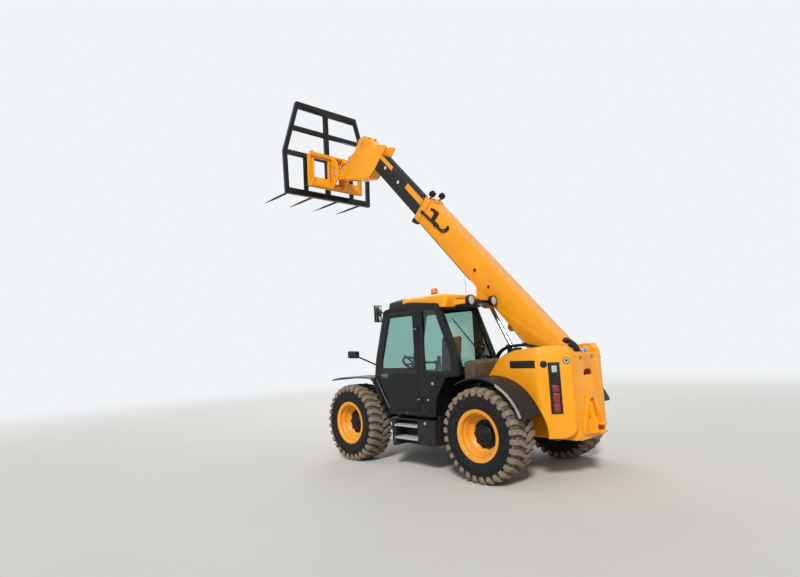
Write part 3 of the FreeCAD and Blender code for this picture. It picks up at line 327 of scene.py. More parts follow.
def make_finishes():
    c = bpy.context.scene.handler_colours
    body, black, plastic, steel = tuple(c.body), tuple(c.black), tuple(c.plastic), tuple(c.steel)
    made = {
        "body": finish("body_paint", body, 0.36, vary=0.05, dust=0.22, dust_top=0.9, lying=0.05, wear=0.5,
                       coat=0.12, streaks=0.10, grain=0.0002, grain_size=420),
        "roof": finish("roof_paint", body, 0.36, vary=0.05, lying=0.05, wear=0.5, coat=0.12, grain=0.0002,
                       grain_size=420, second=black, boxes=ROOF_BLACK),
        "frame": finish("frame_paint", body, 0.38, vary=0.05, dust=0.22, dust_top=0.9, lying=0.05, wear=0.5,
                        coat=0.12, grain=0.0002, grain_size=420, second=black, boxes=FRAME_BLACK),
        "wheel": finish("wheel_paint", body, 0.40, vary=0.07, dust=0.42, dust_top=1.3, wear=0.7, coat=0.2,
                        wear_colour=(0.22, 0.10, 0.05), grain=0.0003, grain_size=200),
        "black": finish("black_paint", black, 0.34, vary=0.25, dust=0.10, dust_top=0.9, lying=0.05,
                        wear=0.3, wear_colour=(0.16, 0.155, 0.15), coat=0.06, grain=0.0002, grain_size=400,
                        shine=0.22),
        "plastic": finish("moulded_plastic", plastic, 0.50, vary=0.25, dust=0.14, dust_top=0.9, lying=0.07,
                          grain=0.0006, grain_size=650, shine=0.25),
        "trim_grey": finish("grey_trim", (0.13, 0.135, 0.14), 0.5, vary=0.12, dust=0.25, grain=0.0005,
                            grain_size=600),
        "sidewall": rubber_finish("tyre_side_rubber", tuple(c.rubber), 0.16),
        "tread": rubber_finish("tyre_tread_rubber", tuple(c.rubber), 0.86),
        "groove": rubber_finish("tyre_groove_rubber", (0.035, 0.030, 0.026), 0.50),
        "casting": finish("axle_paint", (0.012, 0.012, 0.013), 0.55, vary=0.3, dust=0.5, dust_top=1.0,
                          grain=0.0012, grain_size=120),
        "hub": finish("hub_paint", (0.008, 0.008, 0.009), 0.42, vary=0.3, dust=0.05, wear=0.3,
                      wear_colour=(0.12, 0.11, 0.10), grain=0.0006, grain_size=160, shine=0.25),
        "step": finish("tread_plate", steel, 0.42, metal=0.9, vary=0.2, dust=0.35, wear=0.3,
                       wear_colour=(0.75, 0.74, 0.72), grain=0.0004, grain_size=300),
        "steel": finish("bare_steel", steel, 0.36, metal=1.0, vary=0.2, dust=0.2, grain=0.0002),
        "chrome": finish("ram_chrome", (0.78, 0.79, 0.80), 0.10, metal=1.0, vary=0.04, spread=0.06),
        "glass": glass_finish("tinted_glass", tuple(c.glass)),
        "fabric": fabric_finish("seat_cloth", (0.030, 0.031, 0.035)),
        "lamp_body": finish("lamp_housing", (0.008, 0.008, 0.009), 0.40, vary=0.2, lying=0.06, grain=0.0004,
                            grain_size=600),
        "red_lens": lens_finish("red_lens", (0.20, 0.006, 0.006), 0.03),
        "clear_lens": lens_finish("clear_lens", (0.46, 0.47, 0.45)),
        "amber_lens": lens_finish("amber_lens", (0.70, 0.15, 0.008), 0.10),
        "orange_lens": lens_finish("orange_lens", (0.60, 0.12, 0.008), 0.05),
        "exhaust": finish("exhaust_steel", (0.17, 0.14, 0.12), 0.55, metal=0.7, vary=0.35, patch=7.0,
                          grain=0.0006, grain_size=200),
        "engine": finish("engine_casting", (0.07, 0.075, 0.08), 0.6, vary=0.25, dust=0.3, grain=0.001,
                         grain_size=150),
        "mirror": finish("mirror_glass", (0.85, 0.87, 0.88), 0.03, metal=1.0, vary=0.02, spread=0.02),
        "seal": finish("window_rubber", (0.007, 0.007, 0.008), 0.55, vary=0.2, lying=0.04, grain=0.0003),
        # Rear deck: its brown is painted shade and a painted reflection of the ground on a dark panel; the
        # film on its upper faces is dust.
        "deck_shade_and_dust": finish("deck_shade_and_dust", (0.095, 0.062, 0.038), 0.75, vary=0.30, patch=5.0, lying=0.25,
                              grain=0.001, grain_size=140),
        "white_mark": finish("pale_marker", (0.72, 0.72, 0.68), 0.35, vary=0.06),
        "liner": finish("fender_liner", (0.34, 0.33, 0.32), 0.7, vary=0.25, dust=0.5, dust_top=1.6,
                        grain=0.0008, grain_size=260),
    }
    FINISHES.update(made)


NODE_FINISH = {
    "body": "tow_hitch outer_boom boom_nose tail_panels carriage lift_barrel level_barrel tilt_barrel",
    "roof": "cab_roof",
    "frame": "chassis_frame",
    "black": "cab_frame inner_boom headboard tines door_shell",
    "plastic": "boom_fittings hose_tray controls tool_box front_fenders rear_fenders engine_pod bonnet "
               "mirrors",
    "casting": "front_axle rear_axle knuckle_front_left knuckle_front_right knuckle_rear_left "
               "knuckle_rear_right",
    "wheel": "rim_front_left rim_front_right rim_rear_left rim_rear_right",
    "deck_shade_and_dust": "rear_deck",
    "glass": "cab_glass door_glass",
    "chrome": "lift_rod level_rod tilt_rod",
    "step": "steps",
    "engine": "engine_block",
    "exhaust": "exhaust",
    "lamp_body": "lamps",
}
FLAT_PANES = ("cab_glass", "door_glass")
RIMS = ("rim_front_left", "rim_front_right", "rim_rear_left", "rim_rear_right")
PLAIN_EDGES = FLAT_PANES + RIMS + ("lift_rod", "level_rod", "tilt_rod")


def link(name, data):
    """New object in the scene."""
    holder = bpy.data.objects.new(name, data)
    bpy.context.scene.collection.objects.link(holder)
    return holder


def round_edges(piece, width):
    soft = piece.modifiers.new("round_edges", "BEVEL")
    soft.width = width
    soft.segments = 2
    soft.limit_method = "ANGLE"
    soft.angle_limit = math.radians(32)
    soft.harden_normals = True
    return soft


def dress_nodes():
    """Gives each CAD node its finish, and rounds its sharp edges with modifiers."""
    edge = bpy.context.scene.handler_sizes.edge
    for finish_name, names in NODE_FINISH.items():
        for name in names.split():
            node = NODES[name]
            node.data.materials.clear()
            node.data.materials.append(FINISHES[finish_name])
            for face in node.data.polygons:
                face.material_index = 0
                face.use_smooth = name not in FLAT_PANES
            if name in FLAT_PANES:
                continue
            weld = node.modifiers.new("join_triangles", "WELD")
            weld.merge_threshold = 0.00002
            if name in PLAIN_EDGES:
                split = node.modifiers.new("crease_edges", "EDGE_SPLIT")
                split.split_angle = math.radians(30)
                continue
            if name != "headboard":
                flat = node.modifiers.new("merge_flats", "DECIMATE")
                flat.decimate_type = "DISSOLVE"
                flat.angle_limit = math.radians(0.6)
            round_edges(node, edge).miter_outer = "MITER_ARC"


# Mesh tools; shapes are drawn in millimetres and placed at the end

def chamfer(bm, edges, width, segments=2):
    if width:
        bmesh.ops.bevel(bm, geom=list(edges), offset=width, segments=segments, profile=0.5,
                        affect="EDGES", material=-1, clamp_overlap=True)


def block(bm, low, high, round_by=0.0):
    """Block between two corners."""
    size = [b - a for a, b in zip(low, high)]
    middle = [(a + b) / 2 for a, b in zip(low, high)]
    place = Matrix.Translation(middle) @ Matrix.Diagonal((*size, 1))
    verts = bmesh.ops.create_cube(bm, size=1.0, matrix=place)["verts"]
    chamfer(bm, {e for v in verts for e in v.link_edges}, round_by)


def aim(a, b):
    """Matrix that lays Z along a to b, with its origin halfway."""
    a, b = Vector(a), Vector(b)
    turn = (b - a).to_track_quat("Z", "Y").to_matrix().to_4x4()
    return Matrix.Translation((a + b) / 2) @ turn


def bar(bm, a, b, radius, end_radius=None, sides=20, round_by=0.0):
    """Round or many-sided bar between two points."""
    length = (Vector(b) - Vector(a)).length
    made = bmesh.ops.create_cone(bm, cap_ends=True, cap_tris=False, segments=sides, radius1=radius,
                                 radius2=radius if end_radius is None else end_radius, depth=length,
                                 matrix=aim(a, b))
    if round_by:
        edges = {e for v in made["verts"] for e in v.link_edges}
        chamfer(bm, {e for e in edges if any(len(f.verts) > 4 for f in e.link_faces)}, round_by)


def on_plane(axis, at, a, b):
    """Point (a, b) of a plane square to an axis."""
    return {"x": (at, a, b), "y": (a, at, b), "z": (a, b, at)}[axis]


def verts_in(geom):
    return [g for g in geom if isinstance(g, bmesh.types.BMVert)]


def raise_faces(bm, faces, shift):
    """Extrudes faces by a vector and returns the new corners."""
    top = verts_in(bmesh.ops.extrude_face_region(bm, geom=faces)["geom"])
    bmesh.ops.translate(bm, vec=shift, verts=top)
    return top


def prism(bm, points, axis, low, high, round_by=0.0):
    """Plate with an outline square to x, y or z, between two values on that axis."""
    face = bm.faces.new([bm.verts.new(on_plane(axis, low, a, b)) for a, b in points])
    top = raise_faces(bm, [face], AXES[axis] * (high - low))
    base = list(face.verts)
    if round_by:
        chamfer(bm, {e for v in base + top for e in v.link_edges}, round_by)


def lathe(bm, profile, centre, axis=Y, steps=48, closed=False):
    """Turned shape; the profile is (distance along the axis, radius) points."""
    axis = Vector(axis).normalized()
    side = axis.orthogonal().normalized()
    if abs(axis.y) > 0.9:
        side = Z
    centre = Vector(centre)
    verts = [bm.verts.new(centre + axis * a + side * r) for a, r in profile]
    edges = [bm.edges.new(pair) for pair in zip(verts, verts[1:])]
    if closed:
        edges.append(bm.edges.new((verts[-1], verts[0])))
    bmesh.ops.spin(bm, geom=verts + edges, cent=centre, axis=axis, angle=math.tau, steps=steps,
                   use_merge=True)


def hoop(bm, start, width, inner, outer, centre, axis, steps=36):
    """Square ring round an axis."""
    stop = start + width
    profile = [(start, inner), (start, outer), (stop, outer), (stop, inner)]
    lathe(bm, profile, centre, axis, steps, closed=True)


def ring_of(make, centre, axis, radius, count, start=0.0):
    """Calls make(point, outward direction) at even steps round an axis."""
    axis = Vector(axis).normalized()
    side = Z if abs(axis.z) < 0.9 else X
    for i in range(count):
        out = Matrix.Rotation(start + math.tau * i / count, 3, axis) @ side
        make(Vector(centre) + out * radius, out)


def bolt(bm, at, way, size=9.0, height=8.0, washer=True):
    """Hexagon head on a washer; way points out of the surface."""
    at, way = Vector(at), Vector(way).normalized()
    foot = at - way * 2
    if washer:
        bar(bm, foot, at + way * height * 0.25, size * 1.35, sides=16)
    bar(bm, foot, at + way * height, size, sides=6, round_by=size * 0.12)


def pipe(bm, points, radius):
    """Bent pipe along a few points."""
    curve = bpy.data.curves.new("pipe_line", "CURVE")
    curve.dimensions = "3D"
    curve.bevel_depth = radius
    curve.bevel_resolution = 2
    curve.resolution_u = 8
    curve.use_fill_caps = True
    line = curve.splines.new("NURBS")
    line.points.add(len(points) - 1)
    for target, p in zip(line.points, points):
        target.co = (*p, 1.0)
    line.order_u = 3
    line.use_endpoint_u = True
    holder = link("pipe_line", curve)
    bpy.context.view_layer.update()
    mesh = bpy.data.meshes.new_from_object(holder)
    bm.from_mesh(mesh)
    bpy.data.objects.remove(holder)
    bpy.data.curves.remove(curve)
    bpy.data.meshes.remove(mesh)


def mirror_over(bm):
    """Adds the same shapes on the other side of the middle plane."""
    out = bmesh.ops.duplicate(bm, geom=bm.verts[:] + bm.edges[:] + bm.faces[:])
    faces = [g for g in out["geom"] if isinstance(g, bmesh.types.BMFace)]
    bmesh.ops.scale(bm, vec=(1, -1, 1), verts=verts_in(out["geom"]))
    bmesh.ops.reverse_faces(bm, faces=faces)


def done(bm, name, body, finish_name, place=MACHINE, sharp=35.0, bevel=0.0):
    """Turns a bmesh into a finished piece that rides on its body."""
    bmesh.ops.remove_doubles(bm, verts=bm.verts, dist=0.01)
    bmesh.ops.recalc_face_normals(bm, faces=bm.faces)
    bmesh.ops.transform(bm, matrix=place, verts=bm.verts)
    limit = math.radians(sharp)
    for face in bm.faces:
        face.smooth = True
    for edge in bm.edges:
        edge.smooth = len(edge.link_faces) == 2 and edge.calc_face_angle(0.0) < limit
    mesh = bpy.data.meshes.new(name)
    bm.to_mesh(mesh)
    bm.free()
    piece = link(name, mesh)
    names = [finish_name] if isinstance(finish_name, str) else finish_name
    for one in names:
        mesh.materials.append(FINISHES[one])
    if bevel:
        round_edges(piece, bevel)
    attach(piece, body)
    return piece


# Tyres and wheels

TREAD = 0
GROOVE = 1
SIDE = 2


def tyre_lug(bm, depth):
    """One bent tread lug from the middle of the tyre over its shoulder, on a tyre round the Y axis."""
    # y, shift round the tyre in mm, half width, radius of the top, radius of the foot
    stations = (
        (6, -34, 27, TYRE_R, TYRE_R - depth), (58, -20, 30, TYRE_R, TYRE_R - depth),
        (96, 10, 33, TYRE_R - 1, TYRE_R - depth - 1), (165, 26, 33, TYRE_R - 4, TYRE_R - depth - 5),
        (205, 28, 34, TYRE_R - 14, TYRE_R - depth - 18), (224, 28, 36, TYRE_R - 42, TYRE_R - depth - 46),
        (226, 28, 30, TYRE_R - 82, TYRE_R - depth - 70),
    )
    grid = bmesh.ops.create_grid(bm, x_segments=len(stations) - 1, y_segments=1, size=1.0)["verts"]
    faces = {f for v in grid for f in v.link_faces}
    rows = sorted({round(v.co.x, 4) for v in grid})
    row_of = {v: rows.index(round(v.co.x, 4)) for v in grid}
    side_of = {v: 1 if v.co.y > 0 else -1 for v in grid}
    out = bmesh.ops.extrude_face_region(bm, geom=list(faces))
    tops = verts_in(out["geom"])
    for v in tops:
        row_of[v] = rows.index(round(v.co.x, 4))
        side_of[v] = 1 if v.co.y > 0 else -1
    for v, row in row_of.items():
        y, shift, half, top_r, foot_r = stations[row]
        is_top = v in tops
        radius = top_r if is_top else foot_r - 6
        half = half * (0.84 if is_top else 1.12)
        if is_top and row == 0:
            y += 5
        angle = (shift + side_of[v] * half) / TYRE_R
        v.co = Vector((radius * math.sin(angle), y, radius * math.cos(angle)))
    upper = set(tops)
    rims = {e for v in tops for e in v.link_edges
            if set(e.verts) <= upper and sum(set(f.verts) <= upper for f in e.link_faces) < 2}
    chamfer(bm, rims, 5.0, 1)


def make_tyre(tag, x, side):
    """Casing with side ribs, and two staggered rows of lugs."""
    sizes = bpy.context.scene.handler_sizes
    depth = sizes.lug_depth * 1000
    bm = bmesh.new()
    tyre_lug(bm, depth)
    one = bm.verts[:] + bm.edges[:] + bm.faces[:]
    far_verts = verts_in(bmesh.ops.duplicate(bm, geom=one)["geom"])
    bmesh.ops.scale(bm, vec=(1, -1, 1), verts=far_verts)
    bmesh.ops.rotate(bm, cent=(0, 0, 0), matrix=Matrix.Rotation(math.pi / sizes.lug_count, 3, "Y"),
                     verts=far_verts)
    everything = bm.verts[:] + bm.edges[:] + bm.faces[:]
    bmesh.ops.spin(bm, geom=everything, cent=(0, 0, 0), axis=Y, use_duplicate=True,
                   angle=math.tau * (sizes.lug_count - 1) / sizes.lug_count, steps=sizes.lug_count - 1)
    bmesh.ops.recalc_face_normals(bm, faces=bm.faces)
    for face in bm.faces:
        face.material_index = TREAD
    casing = bmesh.new()
    base = TYRE_R - depth
    profile = [
        (-203, 301), (-204, 336), (-214, 348), (-222, 372), (-228, 410), (-231, 440), (-232, 446),
        (-229, 450), (-229, 480), (-226, 520), (-217, 550), (-200, 573), (-150, base - 7), (0, base),
    ]
    profile += [(-a, r) for a, r in profile[-2::-1]]
    lathe(casing, profile, (0, 0, 0), steps=96, closed=True)
    bmesh.ops.recalc_face_normals(casing, faces=casing.faces)
    for face in casing.faces:
        middle = face.calc_center_median()
        radius = math.hypot(middle.x, middle.z)
        face.material_index = GROOVE if radius > 552 else SIDE
    # Raised ribs on each side wall
    for y in (-1, 1):
        for radius, proud in ((470, 3.5), (492, 2.5), (392, 3.0)):
            seat = 229 - max(0.0, (440 - radius)) * 0.10
            lathe(casing, [(y * (seat - 4), radius - 5), (y * (seat + proud), radius - 3),
                           (y * (seat + proud), radius + 3), (y * (seat - 4), radius + 5)],
                  (0, 0, 0), steps=96, closed=True)
    for face in casing.faces:
        if face.calc_center_median().length < 552 and face.material_index == 0:
            face.material_index = SIDE
    add_mesh(bm, casing)
    if side < 0:
        bmesh.ops.scale(bm, vec=(1, -1, 1), verts=bm.verts)
    bmesh.ops.translate(bm, vec=(x, side * WHEEL_Y, TYRE_R), verts=bm.verts)
    piece = done(bm, "tyre_" + tag + "_tread", "wheel_" + tag, ("tread", "groove", "sidewall"), sharp=28)
    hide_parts("tyre_" + tag)


def make_hub(tag, x, side):
    """Black planetary hub cover, nut ring, nuts, hub bolts and the valve."""
    count = bpy.context.scene.handler_sizes.wheel_nuts
    out = side * Y
    centre = Vector((x, side * WHEEL_Y, TYRE_R))
    body = "wheel_" + tag
    bm = bmesh.new()
    lathe(bm, [(25, 146), (25, 190), (34, 190), (36, 187), (36, 159.5), (41.5, 146), (60, 138), (85, 127),
               (93, 118), (94, 77), (98, 73), (112, 71.5), (114, 68), (114, 24), (122, 22), (122, 0)],
          centre, side * Y, steps=48)
    ring_of(lambda p, o: bar(bm, p, p + out * 10, 11, sides=6, round_by=1.2),
            centre + out * 93, Y, 98, 12)
    corner = Vector((7, 7, 7))
    ring_of(lambda p, o: block(bm, p - corner, p + corner, 2), centre + out * 60, Y, 131, 8, 0.2)
    done(bm, "hub_" + tag, body, "hub", sharp=30)
    bm = bmesh.new()
    for i in range(count):
        turn = Matrix.Rotation(math.tau * (i + 0.5) / count, 3, "Y")
        at = centre + turn @ Vector((0, 0, 173)) + out * 36
        bar(bm, at - out * 3, at + out * 5, 19, sides=18)
        bar(bm, at, at + out * 22, 15.5, sides=6, round_by=1.6)
        bar(bm, at, at + out * 31, 9.5, 8.5, sides=12)
    done(bm, "wheel_nuts_" + tag, body, "hub", sharp=30)
    bm = bmesh.new()
    valve = centre + Vector((0, side * 64, -228))
    stem, cap = valve + Vector((0, side * 22, -18)), valve + Vector((0, side * 36, -29))
    bar(bm, valve, stem, 5, 4, sides=10)
    bar(bm, stem, cap, 6.5, sides=10, round_by=1)
    done(bm, "valve_" + tag, body, "steel")


def strip(bm, path, low, high, thickness):
    """Bent sheet: a path of (x, z) points run across from one y value to another."""
    line = [bm.verts.new((a, low, b)) for a, b in path]
    edges = [bm.edges.new(pair) for pair in zip(line, line[1:])]
    out = bmesh.ops.extrude_edge_only(bm, edges=edges)
    bmesh.ops.translate(bm, vec=(0, high - low, 0), verts=verts_in(out["geom"]))
    faces = [g for g in out["geom"] if isinstance(g, bmesh.types.BMFace)]
    bmesh.ops.solidify(bm, geom=faces + edges + line, thickness=thickness)


def add_mesh(bm, other):
    """Adds a second bmesh to the first and frees it."""
    mesh = bpy.data.meshes.new("joined")
    other.to_mesh(mesh)
    other.free()
    bm.from_mesh(mesh)
    bpy.data.meshes.remove(mesh)


def rounded_face(corners, axis, at):
    """Bmesh of one flat face whose (a, b, radius) corners are rounded."""
    flat = bmesh.new()
    verts = [flat.verts.new(on_plane(axis, at, a, b)) for a, b, radius in corners]
    flat.faces.new(verts)
    for i, (a, b, radius) in enumerate(corners):
        place = Vector(on_plane(axis, at, a, b))
        beside = (corners[i - 1], corners[(i + 1) % len(corners)])
        back, ahead = (Vector((c[0] - a, c[1] - b)) for c in beside)
        radius = radius / math.tan(back.angle(ahead) / 2)
        vert = min(flat.verts, key=lambda v: (v.co - place).length)
        bmesh.ops.bevel(flat, geom=[vert], offset=radius, segments=5, profile=0.5, affect="VERTICES",
                        material=-1)
    return flat


def trim(bm, corners, axis, at, depth, width):
    """Rubber frame that lines a window's edge."""
    flat = rounded_face(corners, axis, at)
    ring = bmesh.ops.inset_region(flat, faces=flat.faces[:], thickness=width, use_even_offset=True,
                                    use_boundary=True)["faces"]
    middle = [f for f in flat.faces if f not in set(ring)]
    bmesh.ops.delete(flat, geom=middle, context="FACES_ONLY")
    raise_faces(flat, flat.faces[:], AXES[axis] * depth)
    add_mesh(bm, flat)


def ram_place(base, pin):
    """Frame of a ram: X runs from the barrel's pin to the rod's."""
    slope = math.atan2(pin[1] - base[1], pin[0] - base[0])
    return MACHINE @ Matrix.Translation((base[0], 0, base[1])) @ Matrix.Rotation(-slope, 4, "Y")


def boom_point(s, n):
    """(x, z) of a place on the boom."""
    return (PIVOT[0] + s * math.cos(BOOM_ANGLE) - n * math.sin(BOOM_ANGLE),
            PIVOT[2] + s * math.sin(BOOM_ANGLE) + n * math.cos(BOOM_ANGLE))


# Boom

def make_boom_fittings():
    """Bosses, collar bolts, the pipes over the boom's rear end and the hoses on its side."""
    pin_s, pin_n = LIFT_PIN
    bm = bmesh.new()
    for side in (-1, 1):
        way = side * Y
        for s, n, radius in ((2000, -120, 30), (1620, -134, 24)):
            lathe(bm, [(0, radius + 9), (7, radius + 6), (9, radius), (6, radius - 4), (6, 0)],
                  (s, side * BOOM_Y, n), way, steps=32)
        lathe(bm, [(-4, 70), (9, 68), (9, 45), (-4, 45)], (pin_s, side * BOOM_Y, pin_n), way, steps=36,
              closed=True)
        lathe(bm, [(-3, 32), (6, 31), (8, 26), (8, 0)], (pin_s, side * (BOOM_Y + 14), pin_n), way, steps=32)
    done(bm, "boom_bosses", "outer_boom", "body", BOOM)
    bm = bmesh.new()
    for s in (BOOM_END - 110, BOOM_END - 45):
        for side in (-1, 1):
            for n in (-235, -135, -30, 60):
                bolt(bm, (s, side * (BOOM_Y + 12), n), side * Y, 9, 7)
        for y in (-100, 0, 100):
            bolt(bm, (s, y, BOOM_TOP + 12), Z, 9, 7)
    for side in (-1, 1):
        for turn in range(6):
            angle = math.tau * turn / 6
            bolt(bm, (pin_s + 57 * math.cos(angle), side * (BOOM_Y + 9), pin_n + 57 * math.sin(angle)),
                 side * Y, 5, 5, washer=False)
    done(bm, "collar_bolts", "outer_boom", "body", BOOM)
    bm = bmesh.new()
    for y, top in ((-70, 36), (-38, 46), (-6, 50), (26, 46), (58, 38)):
        pipe(bm, [(205, y, BOOM_TOP - 6), (190, y, BOOM_TOP + top * 0.6), (120, y, BOOM_TOP + top),
                  (50, y, BOOM_TOP + top), (0, y, BOOM_TOP + top * 0.5), (-14, y, BOOM_TOP - 12)], 11)
    block(bm, (66, -96, BOOM_TOP - 1), (112, 84, BOOM_TOP + 30), 6)
    block(bm, (150, 20, BOOM_TOP - 1), (204, 120, BOOM_TOP + 62), 8)
    done(bm, "rear_pipes", "outer_boom", "seal", BOOM)
    bm = bmesh.new()
    # radius, then (along, out of the side, square) points
    for radius, points in (
        (11, ((3620, 19, -110), (3480, 19, -102), (3300, 18, -96), (3080, 18, -88), (2985, 18, -70),
              (2935, 18, -10), (2920, 16, 60))),
        (9, ((3620, 19, -135), (3480, 18, -126), (3300, 14, -120), (3080, 14, -112), (2960, 14, -96),
             (2900, 14, -30), (2888, 14, 40))),
    ):
        pipe(bm, [(s, BOOM_Y + out, n) for s, out, n in points], radius)
    for s, n in ((3560, -122), (3180, -103), (2905, 20)):
        block(bm, (s, BOOM_Y, n - 32), (s + 34, BOOM_Y + 32, n + 32), 4)
    block(bm, (3250, BOOM_Y, -70), (3320, BOOM_Y + 22, 95), 6)
    lathe(bm, [(0, 24), (16, 23), (20, 18), (20, 0)], (3438, BOOM_Y, 43), Y, steps=24)
    done(bm, "side_hoses", "outer_boom", "seal", BOOM)


def make_collar_lamps():
    """Faces of the two work lamps on the collar, and their ribbed backs."""
    glass = bmesh.new()
    rim = bmesh.new()
    s = BOOM_END - 90
    for y in (120, -120):
        centre = (s + 62, y, BOOM_TOP + 107)
        lathe(glass, [(-2, 0), (-2, 46), (1, 45), (4, 30), (5, 0)], centre, X, steps=36)
        profile = [(-14, 54), (-14, 57), (2, 57), (4, 54), (4, 48), (-4, 46)]
        lathe(rim, profile, centre, X, steps=36, closed=True)
        for i in range(5):
            hoop(rim, -58 + i * 9, 3, 40, 54, centre, X, steps=28)
    done(glass, "collar_lamp_lenses", "outer_boom", "clear_lens", BOOM)
    done(rim, "collar_lamp_rims", "outer_boom", "lamp_body", BOOM)


def make_inner_boom_marks():
    """Painted panels and two pale dots on the sliding boom, and the pipes in its tray."""
    bm = bmesh.new()
    for side in (-1, 1):
        # s from, s to, n from, n to
        for s0, s1, n0, n1 in ((3760, 4310, -85, 22), (4850, 5295, -48, 27)):
            y = side * INNER_Y
            block(bm, (s0, min(y, y + side * 0.2), n0), (s1, max(y, y + side * 0.2), n1))
    done(bm, "boom_panels", "inner_boom", "body", BOOM)
    bm = bmesh.new()
    for s, n in ((4545, -108), (5040, -104)):
        lathe(bm, [(-1, 30), (0.2, 30), (0.2, 0)], (s, INNER_Y, n), Y, steps=28)
    done(bm, "boom_dots", "inner_boom", "white_mark", BOOM)
    bm = bmesh.new()
    for i in range(6):
        y = -57.5 + 23 * i
        bar(bm, (3905, y, INNER_TOP + 10), (5235, y, INNER_TOP + 10), 5.4, sides=12)
    done(bm, "tray_pipes", "inner_boom", "seal", BOOM)


def make_nose():
    """Pin heads, bolts and hoses of the boom's nose."""
    pin_x, pin_z = TILT_BASE
    bm = bmesh.new()
    for side in (-1, 1):
        way = side * Y
        profile = [(-3, 56), (8, 54), (8, 31), (-3, 31)]
        lathe(bm, profile, (pin_x, side * 120, pin_z), way, steps=36, closed=True)
        lathe(bm, [(-3, 27), (5, 26), (7, 22), (7, 0)], (pin_x, side * 132, pin_z), way, steps=28)
        for x, z in ((2880, 5430), (3060, 5330), (2860, 5640)):
            bolt(bm, (x, side * 120, z), way, 9, 7)
    done(bm, "nose_pins", "inner_boom", "body")
    bm = bmesh.new()
    for y in (-86, -67, 67, 86):
        pipe(bm, [(3130, y, 5985), (3240, y, 6062), (3420, y, 6078), (3540, y, 5990), (3600, y, 5840),
                  (3700, y, 5745)], 8)
    for side in (-1, 1):
        block(bm, (3280, side * 76 - 22, 6050), (3330, side * 76 + 22, 6078), 4)
    done(bm, "nose_hoses", "inner_boom", "seal")


# Fork frame

def make_fork_fittings():
    """Pins, latch and ribs of the carriage, and bolts and tine collars of the bale frame."""
    bm = bmesh.new()
    for side in (-1, 1):
        way = side * Y
        for (x, z), radius in ((CARRIAGE_PIN, 35), (TILT_PIN, 26)):
            lathe(bm, [(-14, radius + 14), (-3, radius + 14), (1, radius), (9, radius - 4), (9, 0)],
                  (x, side * 165, z), way, steps=28)
            bolt(bm, (x, side * 174, z), way, 8, 8)
    for y in (-560, 560):
        bar(bm, (4470, y - 34, 5330), (4470, y + 34, 5330), 15, round_by=2)
        bolt(bm, (4472, y, 5392), X, 9, 8)
    done(bm, "carriage_pins", "carriage", "steel")
    bm = bmesh.new()
    for side in (-1, 1):
        for y in (205, 600):
            outline = [(4352, 5340), (4402, 5340), (4402, 5900), (4352, 5860)]
            prism(bm, outline, "y", side * y - 7, side * y + 7, 2)
        prism(bm, [(side * 150, 5262), (side * 340, 5262), (side * 150, 5450)], "x", 4384, 4404, 3)
    block(bm, (4330, -150, 5930), (4402, 150, 5958), 4)
    done(bm, "carriage_ribs", "carriage", "body")
    bm = bmesh.new()
    for side in (-1, 1):
        for z in (5330, 5390, 5810, 5870):
            bolt(bm, (4545, side * 628, z), side * Y, 8, 7)
    for y in (-960, -330, 330, 960):
        lathe(bm, [(-6, 52), (8, 52), (14, 40), (26, 38)], (4700, y, 5170), X, steps=28)
    done(bm, "frame_bolts_and_collars", "carriage", "black")


# Cab

DOOR_WINDOW = ((1145, 1500, 40), (1965, 1500, 60), (1925, 1670, 200), (1715, 2320, 50), (1145, 2320, 50))
QUARTER_WINDOW = ((430, 1450, 40), (990, 1450, 40), (990, 2380, 40), (690, 2365, 60), (420, 1680, 200))
SIDE_WINDOW = ((700, 1180, 60), (1650, 1180, 60), (1960, 1500, 120), (1740, 2370, 60), (700, 2360, 60))
FRONT_LINE = ((1852, 1006), (2098, 1330), (2096, 1360), (2048, 1640), (2040, 1670), (1822, 2370))
REAR_LINE = ((305, 1500), (316, 1560), (345, 1665), (352, 1680), (626, 2362))


def make_seals():
    """Rubber frames of the windows."""
    bm = bmesh.new()
    trim(bm, QUARTER_WINDOW, "y", CAB_LEFT - 23.5, 25.5, 20)
    trim(bm, SIDE_WINDOW, "y", CAB_RIGHT - 2, 25.5, 20)
    for line, near, far in ((FRONT_LINE, 262, 1038), (REAR_LINE, 272, 1028)):
        strip(bm, line, near, near + 20, 10)
        strip(bm, line, far - 20, far, 10)
        for (xa, za), (xb, zb) in ((line[0], line[1]), (line[-1], line[-2])):
            run = Vector((xb - xa, zb - za)).normalized() * 22
            strip(bm, ((xa, za), (xa + run.x, za + run.y)), near, far, 10)
    done(bm, "window_seals", "chassis", "seal")
    bm = bmesh.new()
    trim(bm, DOOR_WINDOW, "y", CAB_LEFT - 23.5, 25.5, 20)
    done(bm, "door_seal", "cab_door", "seal")


